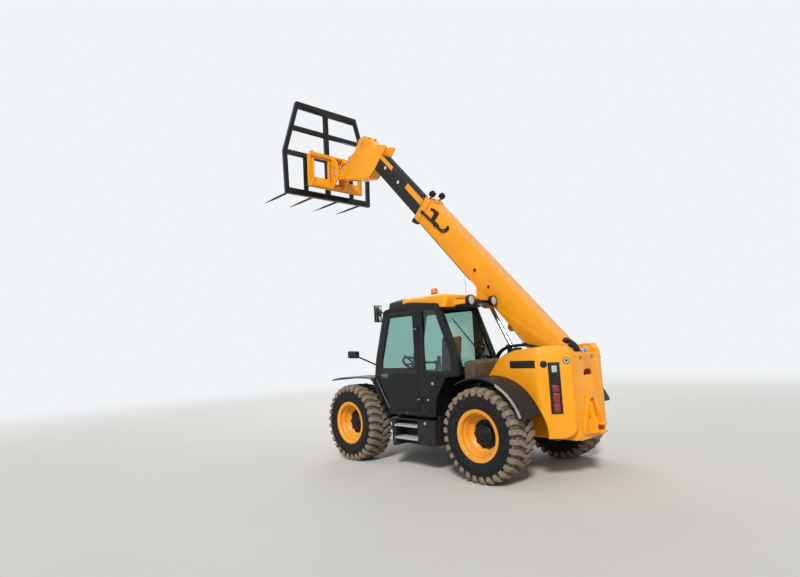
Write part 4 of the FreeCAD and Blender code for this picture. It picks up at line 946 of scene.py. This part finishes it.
def make_cab_fittings():
    """Pillar strip, wiper, aerial, mirrors' glass, roof lamps, beacon and catches."""
    bm = bmesh.new()
    prism(bm, [(2074, 1334), (1790, 902), (1776, 911), (2060, 1343)], "y", CAB_LEFT - 2, CAB_LEFT + 6, 2)
    done(bm, "pillar_strip", "chassis", "trim_grey")
    bm = bmesh.new()
    pivot, low, high = Vector((300, 412, 1470)), Vector((402, 614, 1800)), Vector((571, 872, 2220))
    bar(bm, pivot - Vector((26, 0, 0)), pivot + Vector((8, 0, 0)), 17)
    pipe(bm, [tuple(pivot - Vector((20, 0, 0))), tuple(low - Vector((34, -20, 0))),
              tuple(low.lerp(high, 0.5) - Vector((14, 0, 0)))], 5.5)
    bar(bm, low - Vector((4, 0, 0)), high - Vector((4, 0, 0)), 7, sides=8)
    foot = Vector(AERIAL)
    bar(bm, foot - 6 * Z, foot + 22 * Z, 14, 9)
    bar(bm, foot + 20 * Z, foot + Vector((-4, 0, 377)), 3.2, 1.8, sides=10)
    done(bm, "wiper_and_aerial", "chassis", "seal")
    bm = bmesh.new()
    block(bm, (1936.5, 1042, 2274), (1941, 1153, 2517), 2)
    prism(bm, [(2556, 1704), (2762, 1713), (2762, 1806), (2556, 1797)], "y", 1057, 1061, 1)
    done(bm, "mirror_glass", "chassis", "mirror")
    glass, rim = bmesh.new(), bmesh.new()
    for y in (275, 795):
        centre = (245, y, 2455)
        lathe(glass, [(-3, 0), (-3, 64), (1, 62), (6, 40), (8, 0)], centre, -X, steps=40)
        profile = [(-12, 74), (-12, 78), (4, 78), (7, 74), (7, 66), (-5, 63)]
        lathe(rim, profile, centre, -X, steps=40, closed=True)
        for i in range(3):
            hoop(rim, -46 + i * 11, 4, 60, 77, centre, -X, steps=32)
    done(glass, "roof_lamp_lenses", "chassis", "clear_lens")
    done(rim, "roof_lamp_rims", "chassis", "lamp_body")
    bm = bmesh.new()
    lathe(bm, [(0, 53), (12, 53.5), (16, 51), (60, 48), (78, 40), (87, 22), (89, 0)],
          BEACON, Z, steps=40)
    for i in range(5):
        a = 20 + i * 8
        lathe(bm, [(a, 49), (a + 2, 52.5), (a + 4, 49)], BEACON, Z, steps=40, closed=True)
    done(bm, "beacon_dome", "chassis", "amber_lens")
    bm = bmesh.new()
    # x, z, radius of each catch or stud on the cab's left face
    for x, z, radius in ((812, 1290, 17), (924, 1054, 14), (1395, 847, 8)):
        profile = [(0, radius), (5, radius - 1), (7, radius * 0.6), (7, 0)]
        lathe(bm, profile, (x, CAB_LEFT, z), Y, steps=24)
    block(bm, (796, CAB_LEFT, 1272), (838, CAB_LEFT + 6, 1308), 2)
    done(bm, "cab_catches", "chassis", "steel")


def make_door_fittings():
    """Lower panel, handle and hinge bolts of the door."""
    bm = bmesh.new()
    corners = ((1130, 930, 40), (1716, 930, 40), (1968, 1300, 50), (1940, 1440, 30), (1130, 1440, 30))
    flat = rounded_face(corners, "y", CAB_LEFT)
    raise_faces(flat, flat.faces[:], 5 * Y)
    add_mesh(bm, flat)
    done(bm, "door_panel", "cab_door", "black", bevel=0.002)
    bm = bmesh.new()
    block(bm, (1780, CAB_LEFT + 2, 1368), (1930, CAB_LEFT + 9, 1432), 3)
    pipe(bm, [(1800, CAB_LEFT + 6, 1400), (1806, CAB_LEFT + 34, 1402), (1860, CAB_LEFT + 38, 1402),
              (1908, CAB_LEFT + 34, 1402), (1912, CAB_LEFT + 6, 1400)], 8)
    done(bm, "door_handle", "cab_door", "trim_grey")
    bm = bmesh.new()
    for z in (1010, 2050):
        for x in (1092, 1126):
            bolt(bm, (x, CAB_LEFT + 18, z + 46), Y, 7, 6)
    done(bm, "hinge_bolts", "cab_door", "steel")


# Seat

VOXEL = 0.006
CLOTH_PRESSURE = 4.0
CLOTH_FRAMES = 20
SWELL_CAP = 0.022
CHANNEL_HALF = 0.016
CHANNEL_DEPTH = 0.006


def cushion(name, low, high, tilt, channels):
    """Seat pad from a block, swelled by cloth pressure and marked by sewn channels."""
    bm = bmesh.new()
    block(bm, low, high, 34)
    bmesh.ops.recalc_face_normals(bm, faces=bm.faces)
    mesh = bpy.data.meshes.new(name)
    bm.to_mesh(mesh)
    bm.free()
    piece = link(name, mesh)
    mesh.transform(Matrix.Scale(0.001, 4))
    swell(piece)
    mesh = piece.data
    middle = (Vector(low) + Vector(high)) * 0.0005
    for v in mesh.vertices:
        for axis, at in channels:
            gap = abs(v.co[axis] - at / 1000)
            if gap < CHANNEL_HALF:
                inward = middle - v.co
                inward[axis] = 0
                v.co += inward.normalized() * CHANNEL_DEPTH * (1 - gap / CHANNEL_HALF)
    mesh.transform(MACHINE @ tilt @ Matrix.Scale(1000, 4))
    for face in mesh.polygons:
        face.use_smooth = True
    mesh.materials.clear()
    mesh.materials.append(FINISHES["fabric"])
    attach(piece, "chassis")
    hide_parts("seat")


def swell(piece):
    """Remesh, short cloth run under pressure, capped movement and one subdivision."""
    scene = bpy.context.scene
    remesh = piece.modifiers.new("even_mesh", "REMESH")
    remesh.mode = "VOXEL"
    remesh.voxel_size = VOXEL
    bake(piece)
    start = [v.co.copy() for v in piece.data.vertices]
    cloth = piece.modifiers.new("stuffing", "CLOTH")
    cloth.settings.use_pressure = True
    cloth.settings.uniform_pressure_force = CLOTH_PRESSURE
    cloth.settings.effector_weights.gravity = 0.0
    for number in range(1, CLOTH_FRAMES + 1):
        scene.frame_set(number)
    bake(piece)
    scene.frame_set(1)
    for v, was in zip(piece.data.vertices, start):
        shift = v.co - was
        if shift.length > SWELL_CAP:
            v.co = was + shift.normalized() * SWELL_CAP
    finer = piece.modifiers.new("finer", "SUBSURF")
    finer.levels = 1
    finer.render_levels = 1
    bake(piece)


def bake(piece):
    """Applies the piece's modifiers to its mesh."""
    graph = bpy.context.evaluated_depsgraph_get()
    mesh = bpy.data.meshes.new_from_object(piece.evaluated_get(graph))
    old = piece.data
    piece.modifiers.clear()
    piece.data = mesh
    bpy.data.meshes.remove(old)


def make_seat():
    """Seat and back cushions, and the shell that holds them."""
    cushion("seat_cushion", (862, 416, 1302), (1386, 864, 1388), Matrix.Identity(4),
            ((0, 1010), (0, 1130), (0, 1250), (1, 500), (1, 780)))
    lean = Matrix.Translation((868, 640, 1402)) @ Matrix.Rotation(math.radians(-7.0), 4, "Y")
    cushion("seat_back", (-42, -206, 16), (36, 206, 570), lean,
            ((2, 150), (2, 280), (2, 410), (1, -120), (1, 120)))
    bm = bmesh.new()
    prism(bm, [(835, 1291), (1380, 1291), (1380, 1300), (835, 1300)], "y", 410, 870, 3)
    for side in (-1, 1):
        y = 640 + side * 234
        block(bm, (880, y - 5, 1292), (1340, y + 5, 1346), 4)
        pipe(bm, [(880, y, 1560), (900, y, 1580), (1050, y, 1590), (1180, y, 1588)], 16)
    done(bm, "seat_shell", "chassis", "plastic")


# Tail and rear

TAIL_CORNER = Matrix.Translation((-847.5, 562.5, 0)) @ Matrix.Rotation(math.radians(135), 4, "Z")


def make_tail_lamps():
    """White and red lenses in the two upright housings, and a round reflector above each."""
    red, clear, rim = bmesh.new(), bmesh.new(), bmesh.new()
    for z0, z1 in ((1158, 1244), (1022, 1148), (905, 1010)):
        block(red, (13, -44, z0), (25, 44, z1), 9)
    block(clear, (12, -34, 1410), (26, 34, 1496), 9)
    reflector = (-6, 168, 1552)
    lathe(clear, [(-6, 17), (-6, 38), (9, 38), (13, 30), (11, 17)], reflector, X, steps=36, closed=True)
    lathe(rim, [(-6, 0), (-6, 18), (8, 18), (8, 0)], reflector, X, steps=28)
    lathe(rim, [(-6, 38), (-6, 47), (8, 46), (10, 38)], reflector, X, steps=36, closed=True)
    for z in (896, 1016, 1153, 1252, 1330, 1400, 1506):
        block(rim, (12, -64, z - 3), (20, 64, z + 3), 1)
    for y in (-56, 56):
        block(rim, (10, y - 8, 892), (24, y + 8, 1530), 3)
    for bm, name, finish_name in (
        (red, "tail_lamp_lenses", "red_lens"),
        (clear, "tail_pale_lenses", "clear_lens"),
        (rim, "tail_lamp_rims", "lamp_body"),
    ):
        bmesh.ops.transform(bm, matrix=TAIL_CORNER, verts=bm.verts)
        mirror_over(bm)
        done(bm, name, "chassis", finish_name)


def make_tail_fittings():
    """Blank plate, filler cap, rear bolts, couplings, the hoses behind the cab and dark discs of painted
    shade in the rear plate's holes.
    """
    bm = bmesh.new()
    block(bm, (-673, 719, 1474), (-282, 723, 1572), 2)
    cap = [(-8, 46), (8, 45), (14, 38), (16, 20), (13, 16), (13, 0)]
    lathe(bm, cap, (-757, 653, 1519), (-1, 1, 0), steps=36)
    done(bm, "blank_plate", "chassis", "seal")
    bm = bmesh.new()
    for side in (-1, 1):
        for y, z in ((215, 640), (215, 720), (60, 1115), (270, 1600), (270, 600), (255, 1180), (285, 880)):
            bolt(bm, (TAIL_BACK if y > 220 else TAIL_BACK - 30, side * y, z), -X, 11, 9)
        bolt(bm, (-930, side * 480, 640), (-1, side, 0), 9, 7)
    done(bm, "rear_bolts", "chassis", "body")
    bm = bmesh.new()
    for y, lift, r in ((214, 0, 15), (248, 14, 13), (280, 2, 13)):
        pipe(bm, [(330, y, 1480), (300, y, 1600), (190, y, 1720 + lift), (40, y, 1760 + lift),
                  (-160, y, 1772 + lift), (-360, y, 1750 + lift), (-520, y, 1700 + lift), (-590, y, 1620)], r)
    for x, z in ((60, 1762), (-220, 1776)):
        block(bm, (x - 14, 200, z - 16), (x + 14, 294, z + 30), 6)
    # Dark discs behind the rear plate's two holes: painted shade inside the holes
    for side in (-1, 1):
        lathe(bm, [(-16, 0), (-16, 31)], (-1000, side * 150, 1565), -X, steps=32)
    block(bm, (-150, 212, 1640), (60, 292, 1742), 12)
    for y, r in ((222, 12), (256, 11), (284, 11)):
        pipe(bm, [(300, y, 1430), (240, y, 1560), (120, y, 1640), (-40, y, 1690), (-260, y, 1700),
                  (-420, y, 1640), (-470, y, 1540)], r)
    done(bm, "tower_hoses_and_hole_shade", "chassis", "seal")
    bm = bmesh.new()
    block(bm, (-1004, -74, 1640), (-960, -14, 1716), 6)
    block(bm, (-1004, 20, 1640), (-970, 86, 1690), 6)
    for y in (-60, -28):
        bar(bm, (-1004, y, 1690), (-1012, y, 1690), 10, sides=16)
    done(bm, "rear_couplings", "chassis", "steel")


def arc(radius, start, stop, count, centre=(0, TYRE_R)):
    """Points on an arc about the rear wheel's centre, angles in degrees."""
    turns = [math.radians(start + (stop - start) * i / count) for i in range(count + 1)]
    return [(centre[0] + radius * math.cos(t), centre[1] + radius * math.sin(t)) for t in turns]


def make_fender_trim():
    """Pale band and lips of the rear fenders, and the wire edge of the front ones."""
    bm = bmesh.new()
    band = arc(722, 118, 159, 24) + arc(757, 159, 116, 24)
    prism(bm, band, "y", 1150, 1154)
    mirror_over(bm)
    done(bm, "fender_liners", "chassis", "liner")
    bm = bmesh.new()
    strip(bm, arc(750, 62, 115.5, 24), 1142, 1154, 14)
    for angle in (62.5, 159.5):
        strip(bm, arc(748, angle - 0.7, angle + 0.7, 2), 404, 1150, 16)
    for x in (-180, -420):
        z = TYRE_R + math.sqrt(754 ** 2 - x ** 2)
        bolt(bm, (x, 1100, z), (x, 0, z - TYRE_R), 9, 7)
    mirror_over(bm)
    for y in (1146, -1146):
        pipe(bm, [(3238, y, 1327), (3100, y, 1348), (2960, y, 1367), (2860, y, 1368), (2250, y, 1368),
                  (2150, y, 1360), (2095, y, 1285), (1904, y, 1000)], 8)
    done(bm, "fender_lips", "chassis", "plastic")


# Steps, engine side and rams

def make_step_fittings():
    """Raised studs on the treads, and bolts, latch and lid of the tool box."""
    bm = bmesh.new()
    for z in (485, 670):
        for row, y in enumerate(range(912, 1120, 26)):
            for x in range(1182 + 13 * (row % 2), 1652, 26):
                bar(bm, (x, y, z - 1), (x, y, z + 3.5), 8, 5.5, sides=8)
    done(bm, "step_studs", "chassis", "step")
    bm = bmesh.new()
    for x in (832, 1140):
        for z in (430, 735):
            bolt(bm, (x, 1115, z), Y, 7, 6)
    for z in (380, 560, 735):
        bolt(bm, (1702, 1105, z), Y, 7, 6)
    done(bm, "box_lock", "chassis", "plastic")
    bm = bmesh.new()
    lathe(bm, [(0, 22), (5, 21), (7, 14), (5, 8), (5, 0)], (1003, 1118, 716), Y, steps=28)
    done(bm, "lid_latch", "chassis", "steel")
    bm = bmesh.new()
    block(bm, (812, 1114, 416), (1153, 1119, 744), 3)
    done(bm, "box_lid", "chassis", "plastic")


def make_engine_side():
    """Louvres, latches and grille of the engine cover, the exhaust's bands and the head lamps' lenses."""
    bm = bmesh.new()
    for i in range(9):
        z = 985 + i * 26
        prism(bm, [(-1092, z), (-1101, z + 3), (-1101, z + 9), (-1088, z + 20)], "x", 930, 1520, 1)
    for x in (918, 1532):
        block(bm, (x - 10, -1098, 968), (x + 10, -1086, 1222), 3)
    done(bm, "bonnet_louvres", "bonnet", "plastic")
    bm = bmesh.new()
    for x in (1000, 1680):
        block(bm, (x - 22, -1100, 948), (x + 22, -1088, 972), 3)
        bar(bm, (x, -1100, 966), (x, -1106, 966), 9, sides=16)
    done(bm, "bonnet_latches", "bonnet", "steel")
    bm = bmesh.new()
    for i in range(11):
        y = -1030 + i * 62
        block(bm, (POD_FRONT - 2, y, 560), (POD_FRONT + 9, y + 10, 900), 2)
    for z in (552, 895):
        block(bm, (POD_FRONT - 2, -1040, z), (POD_FRONT + 12, -390, z + 16), 3)
    for i in range(10):
        z = 520 + i * 38
        block(bm, (1000, -1096, z), (1640, -1088, z + 12), 2)
    done(bm, "pod_grille", "chassis", "plastic")
    bm = bmesh.new()
    x, y = EXHAUST
    for i in range(6):
        lathe(bm, [(0, 74), (5, 79), (10, 74)], (x, y, 1015 + i * 68), Z, steps=40, closed=True)
    lathe(bm, [(0, 76), (14, 70), (26, 40), (34, 34)], (x, y, 1418), Z, steps=40)
    lathe(bm, [(0, 30), (0, 38), (26, 38), (28, 34), (26, 30)], (x, y, 1616), Z, steps=36, closed=True)
    done(bm, "exhaust_bands", "chassis", "exhaust")
    bm = bmesh.new()
    for side in (-1, 1):
        block(bm, (FRONT_X + 58, side * 255 - 56, 774), (FRONT_X + 64, side * 255 + 56, 886), 3)
    done(bm, "head_lamp_lenses", "chassis", "clear_lens")


def make_rams():
    """Glands, bands and feed pipes of the three rams."""
    # name, base, pin, barrel length, barrel radius, rod radius, body of the barrel
    rows = (
        ("lift", LIFT_BASE, boom_point(*LIFT_PIN), 1120, 65, 35, "lift_barrel"),
        ("level", LEVEL_BASE, boom_point(*LEVEL_PIN), 800, 38, 22, "level_barrel"),
        ("tilt", TILT_BASE, TILT_PIN, 600, 40, 24, "inner_boom"),
    )
    for name, base, pin, length, barrel, rod, body in rows:
        place = ram_place(base, pin)
        bm = bmesh.new()
        lathe(bm, [(-72, barrel + 5), (-72, barrel + 12), (-4, barrel + 12), (4, barrel + 4), (9, rod + 8),
                   (9, rod + 0.6), (-10, rod + 0.6)], (length, 0, 0), X, steps=40)
        ring_of(lambda p, o: bolt(bm, p, X, rod * 0.16, 5, washer=False), (length + 4, 0, 0), X,
                (barrel + rod) / 2 + 4, 8)
        done(bm, name + "_gland", body, "steel", place)
        bm = bmesh.new()
        hoop(bm, 120, 12, barrel - 1, barrel + 5, (0, 0, 0), X)
        top = barrel + 11
        pipe(bm, [(150, 0, barrel - 4), (150, 0, top), (200, 0, top), (length - 140, 0, top),
                  (length - 90, 0, top), (length - 90, 0, barrel - 4)], 7)
        for x in (0.36, 0.7):
            hoop(bm, length * x, 18, barrel - 1, barrel + 3, (0, 0, 0), X)
        done(bm, name + "_feed_pipe", body, "body", place)


def make_running_gear():
    """Steering rams and tie rods, the drive shaft with its flanges, the gearbox and frame bolts."""
    bm = bmesh.new()
    for x in (0.0, WHEELBASE):
        way = 1 if x else -1
        rod_x = x - way * 196
        bar(bm, (rod_x, -300, TYRE_R + 6), (rod_x, 300, TYRE_R + 6), 30, sides=28, round_by=4)
        for side in (-1, 1):
            bar(bm, (rod_x, side * 295, TYRE_R + 6), (rod_x, side * 560, TYRE_R + 6), 14)
            block(bm, (min(x - way * 60, x - way * 232), side * 250 - 16, TYRE_R - 34),
                  (max(x - way * 60, x - way * 232), side * 250 + 16, TYRE_R + 46), 6)
        lathe(bm, [(120, 60), (158, 58), (160, 78), (174, 78), (176, 30), (250, 28)], (x, 0, TYRE_R),
              -way * X, steps=32)
    bar(bm, (240, 0, TYRE_R), (WHEELBASE - 240, 0, TYRE_R), 31, sides=28)
    for at in (300, 1120, 1500, WHEELBASE - 300):
        bar(bm, (at - 22, 0, TYRE_R), (at + 22, 0, TYRE_R), 52, sides=28, round_by=6)
    block(bm, (1180, -150, 475), (1440, 150, 760), 18)
    done(bm, "axle_gear", "chassis", "casting")
    bm = bmesh.new()
    for x in (420, 900, 1400, 1900, 2300):
        for side in (-1, 1):
            bolt(bm, (x, side * FRAME_Y, 560), side * Y, 11, 9)
    done(bm, "frame_bolts", "chassis", "steel")


def make_controls():
    """Lever, dials, pedals and the steering wheel's rim cover."""
    bm = bmesh.new()
    lathe(bm, [(0, 20), (18, 24), (46, 27), (70, 22), (80, 0)], (1460, 320, 1520), (0.06, 0, 1), steps=24)
    for x, z, tall in ((1180, 1395, 60), (1260, 1412, 50)):
        bar(bm, (x, 320, z - 20), (x, 320, z + tall), 6, sides=12)
        lathe(bm, [(0, 6), (8, 13), (20, 13), (26, 0)], (x, 320, z + tall), Z, steps=20)
    for y in (560, 640, 740):
        prism(bm, [(1668, 880), (1700, 890), (1722, 1010), (1690, 1000)], "y", y - 28, y + 28, 4)
    wheel = Matrix.Translation(STEERING_WHEEL) @ Matrix.Rotation(math.radians(-35), 4, "Y")
    ring = bmesh.new()
    lathe(ring, [(-18, 190), (-13, 204), (0, 208.5), (13, 204), (18, 190), (13, 176), (0, 171.5),
                 (-13, 176)],
          (0, 0, 0), Z, steps=64, closed=True)
    lathe(ring, [(8, 52), (20, 46), (24, 20), (24, 0)], (0, 0, 0), Z, steps=36)
    bar(ring, (150, 95, 8), (150, 95, 62), 20, 22, sides=24, round_by=4)
    bmesh.ops.transform(ring, matrix=wheel, verts=ring.verts)
    add_mesh(bm, ring)
    done(bm, "hand_controls", "chassis", "seal")
    bm = bmesh.new()
    for y, radius in ((575, 34), (735, 30)):
        way = Vector((-0.40, 0, 0.92))
        profile = [(0, radius), (6, radius + 3), (10, radius), (7, radius - 4), (7, 0)]
        lathe(bm, profile, (1830, y, 1369), way, steps=28)
    done(bm, "dash_dials", "chassis", "trim_grey")


# Stage

def make_camera():
    cam = bpy.data.cameras.new("photo_camera")
    cam.sensor_width = 36.0
    cam.lens = CAMERA_LENS
    cam.clip_end = 200.0
    holder = link("photo_camera", cam)
    ahead = Vector((math.cos(CAMERA_YAW) * math.cos(CAMERA_PITCH),
                    math.sin(CAMERA_YAW) * math.cos(CAMERA_PITCH), math.sin(CAMERA_PITCH)))
    right = ahead.cross(Z).normalized()
    up = right.cross(ahead)
    tilted_right = right * math.cos(CAMERA_ROLL) + up * math.sin(CAMERA_ROLL)
    tilted_up = up * math.cos(CAMERA_ROLL) - right * math.sin(CAMERA_ROLL)
    turn = Matrix((tilted_right, tilted_up, -ahead)).transposed().to_4x4()
    holder.matrix_world = Matrix.Translation(CAMERA_AT) @ turn
    bpy.context.scene.camera = holder


BACKGROUND = (0.88, 0.90, 0.92, 1.0)


def seen_mask(tree):
    """1 for rays that the camera, a mirror or a pane sees, 0 for light on the object."""
    path = tree.nodes.new("ShaderNodeLightPath")
    value = path.outputs["Is Camera Ray"]
    for name in ("Is Glossy Ray", "Is Transmission Ray"):
        add = tree.nodes.new("ShaderNodeMath")
        add.operation = "MAXIMUM"
        tree.links.new(value, add.inputs[0])
        tree.links.new(path.outputs[name], add.inputs[1])
        value = add.outputs[0]
    return value


def make_world():
    world = bpy.data.worlds.new("pale_studio")
    bpy.context.scene.world = world
    world.use_nodes = True
    tree = world.node_tree
    light = tree.nodes["Background"]
    light.inputs["Color"].default_value = (0.92, 0.96, 1.0, 1)
    light.inputs["Strength"].default_value = 0.46
    seen = tree.nodes.new("ShaderNodeBackground")
    seen.inputs["Color"].default_value = BACKGROUND
    mix = tree.nodes.new("ShaderNodeMixShader")
    tree.links.new(seen_mask(tree), mix.inputs[0])
    tree.links.new(light.outputs[0], mix.inputs[1])
    tree.links.new(seen.outputs[0], mix.inputs[2])
    tree.links.new(mix.outputs[0], tree.nodes["World Output"].inputs["Surface"])


def make_floor():
    bm = bmesh.new()
    bmesh.ops.create_circle(bm, cap_ends=True, segments=96, radius=60.0)
    mesh = bpy.data.meshes.new("floor")
    bm.to_mesh(mesh)
    bm.free()
    floor = link("floor", mesh)
    r = Recipe("pale_floor")
    tone = r.mix(r.noise(0.6), (0.56, 0.55, 0.53, 1), (0.60, 0.59, 0.57, 1))
    r.put(r.shader.inputs["Base Color"], tone)
    r.shader.inputs["Roughness"].default_value = 0.9
    distance = r.add("ShaderNodeVectorMath", {0: r.place}, operation="LENGTH").outputs["Value"]
    fade = r.add("ShaderNodeMapRange", {"Value": distance, "From Min": 7.0, "From Max": 22.0},
                 interpolation_type="SMOOTHSTEP").outputs["Result"]
    fade = r.maths("MULTIPLY", fade, seen_mask(r.tree))
    far = r.add("ShaderNodeEmission", {"Color": BACKGROUND, "Strength": 1.0}).outputs[0]
    mix = r.add("ShaderNodeMixShader", {0: fade, 1: r.shader.outputs[0], 2: far}).outputs[0]
    r.put(r.tree.nodes["Material Output"].inputs["Surface"], mix)
    mesh.materials.append(r.material)


def make_lights():
    key = bpy.data.lights.new("key_sun", "SUN")
    key.energy = 2.9
    key.angle = math.radians(11)
    key.color = (1.0, 0.97, 0.92)
    holder = link("key_sun", key)
    holder.rotation_mode = "QUATERNION"
    holder.rotation_quaternion = Vector((-0.50, 0.62, 0.66)).to_track_quat("Z", "Y")
    fill = bpy.data.lights.new("soft_fill", "AREA")
    fill.shape = "DISK"
    fill.size = 9.0
    fill.energy = 420.0
    holder = link("soft_fill", fill)
    holder.location = (8.0, -7.0, 9.0)
    holder.rotation_mode = "QUATERNION"
    holder.rotation_quaternion = Vector((8.0, -7.0, 6.0)).to_track_quat("Z", "Y")


# Operators

class HANDLER_OT_stage(bpy.types.Operator):
    """Camera, world, floor and lights"""
    bl_idname = "handler.stage"
    bl_label = "Stage"

    def execute(self, context):
        context.scene.view_settings.view_transform = "Standard"
        make_camera()
        make_world()
        make_floor()
        make_lights()
        return {"FINISHED"}


class HANDLER_OT_finishes(bpy.types.Operator):
    """Materials, and their place on the CAD nodes"""
    bl_idname = "handler.finishes"
    bl_label = "Finishes"

    def execute(self, context):
        make_finishes()
        dress_nodes()
        return {"FINISHED"}


class HANDLER_OT_wheels(bpy.types.Operator):
    """Tyres, hubs, nuts and valves"""
    bl_idname = "handler.wheels"
    bl_label = "Wheels"

    def execute(self, context):
        for tag, x, side in CORNERS:
            make_tyre(tag, x, side)
            make_hub(tag, x, side)
        return {"FINISHED"}


class HANDLER_OT_boom(bpy.types.Operator):
    """Fittings, hoses and lamps of the boom and its nose"""
    bl_idname = "handler.boom"
    bl_label = "Boom"

    def execute(self, context):
        make_boom_fittings()
        make_collar_lamps()
        make_inner_boom_marks()
        make_nose()
        make_fork_fittings()
        make_rams()
        return {"FINISHED"}


class HANDLER_OT_cab(bpy.types.Operator):
    """Seals, catches, lamps, mirrors, door and controls of the cab"""
    bl_idname = "handler.cab"
    bl_label = "Cab"

    def execute(self, context):
        make_seals()
        make_cab_fittings()
        make_door_fittings()
        make_controls()
        return {"FINISHED"}


class HANDLER_OT_seat(bpy.types.Operator):
    """Seat cushions by cloth simulation, and their shell"""
    bl_idname = "handler.seat"
    bl_label = "Seat"

    def execute(self, context):
        make_seat()
        return {"FINISHED"}


class HANDLER_OT_chassis(bpy.types.Operator):
    """Tail lamps, hoses, fenders' trim, steps, engine side and running gear"""
    bl_idname = "handler.chassis"
    bl_label = "Chassis"

    def execute(self, context):
        make_tail_lamps()
        make_tail_fittings()
        make_fender_trim()
        make_step_fittings()
        make_engine_side()
        make_running_gear()
        return {"FINISHED"}


OPERATORS = (HANDLER_OT_stage, HANDLER_OT_finishes, HANDLER_OT_wheels, HANDLER_OT_boom, HANDLER_OT_cab,
             HANDLER_OT_seat, HANDLER_OT_chassis)


class HANDLER_PT_panel(bpy.types.Panel):
    """Sizes, colours and build steps"""
    bl_idname = "HANDLER_PT_panel"
    bl_label = "Telehandler"
    bl_space_type = "VIEW_3D"
    bl_region_type = "UI"
    bl_category = "Telehandler"

    def draw(self, context):
        for group in (context.scene.handler_sizes, context.scene.handler_colours):
            for key in group.__annotations__:
                self.layout.prop(group, key)
        for operator in OPERATORS:
            self.layout.operator(operator.bl_idname)


CLASSES = (HandlerColours, HandlerSizes, *OPERATORS, HANDLER_PT_panel)


def register():
    for one in CLASSES:
        bpy.utils.register_class(one)
    bpy.types.Scene.handler_colours = bpy.props.PointerProperty(type=HandlerColours)
    bpy.types.Scene.handler_sizes = bpy.props.PointerProperty(type=HandlerSizes)


def unregister():
    del bpy.types.Scene.handler_colours
    del bpy.types.Scene.handler_sizes
    for one in reversed(CLASSES):
        bpy.utils.unregister_class(one)


def main():
    register()
    bpy.ops.handler.stage()
    bpy.ops.handler.finishes()
    bpy.ops.handler.wheels()
    bpy.ops.handler.boom()
    bpy.ops.handler.cab()
    bpy.ops.handler.seat()
    bpy.ops.handler.chassis()


if __name__ == "__main__":
    main()
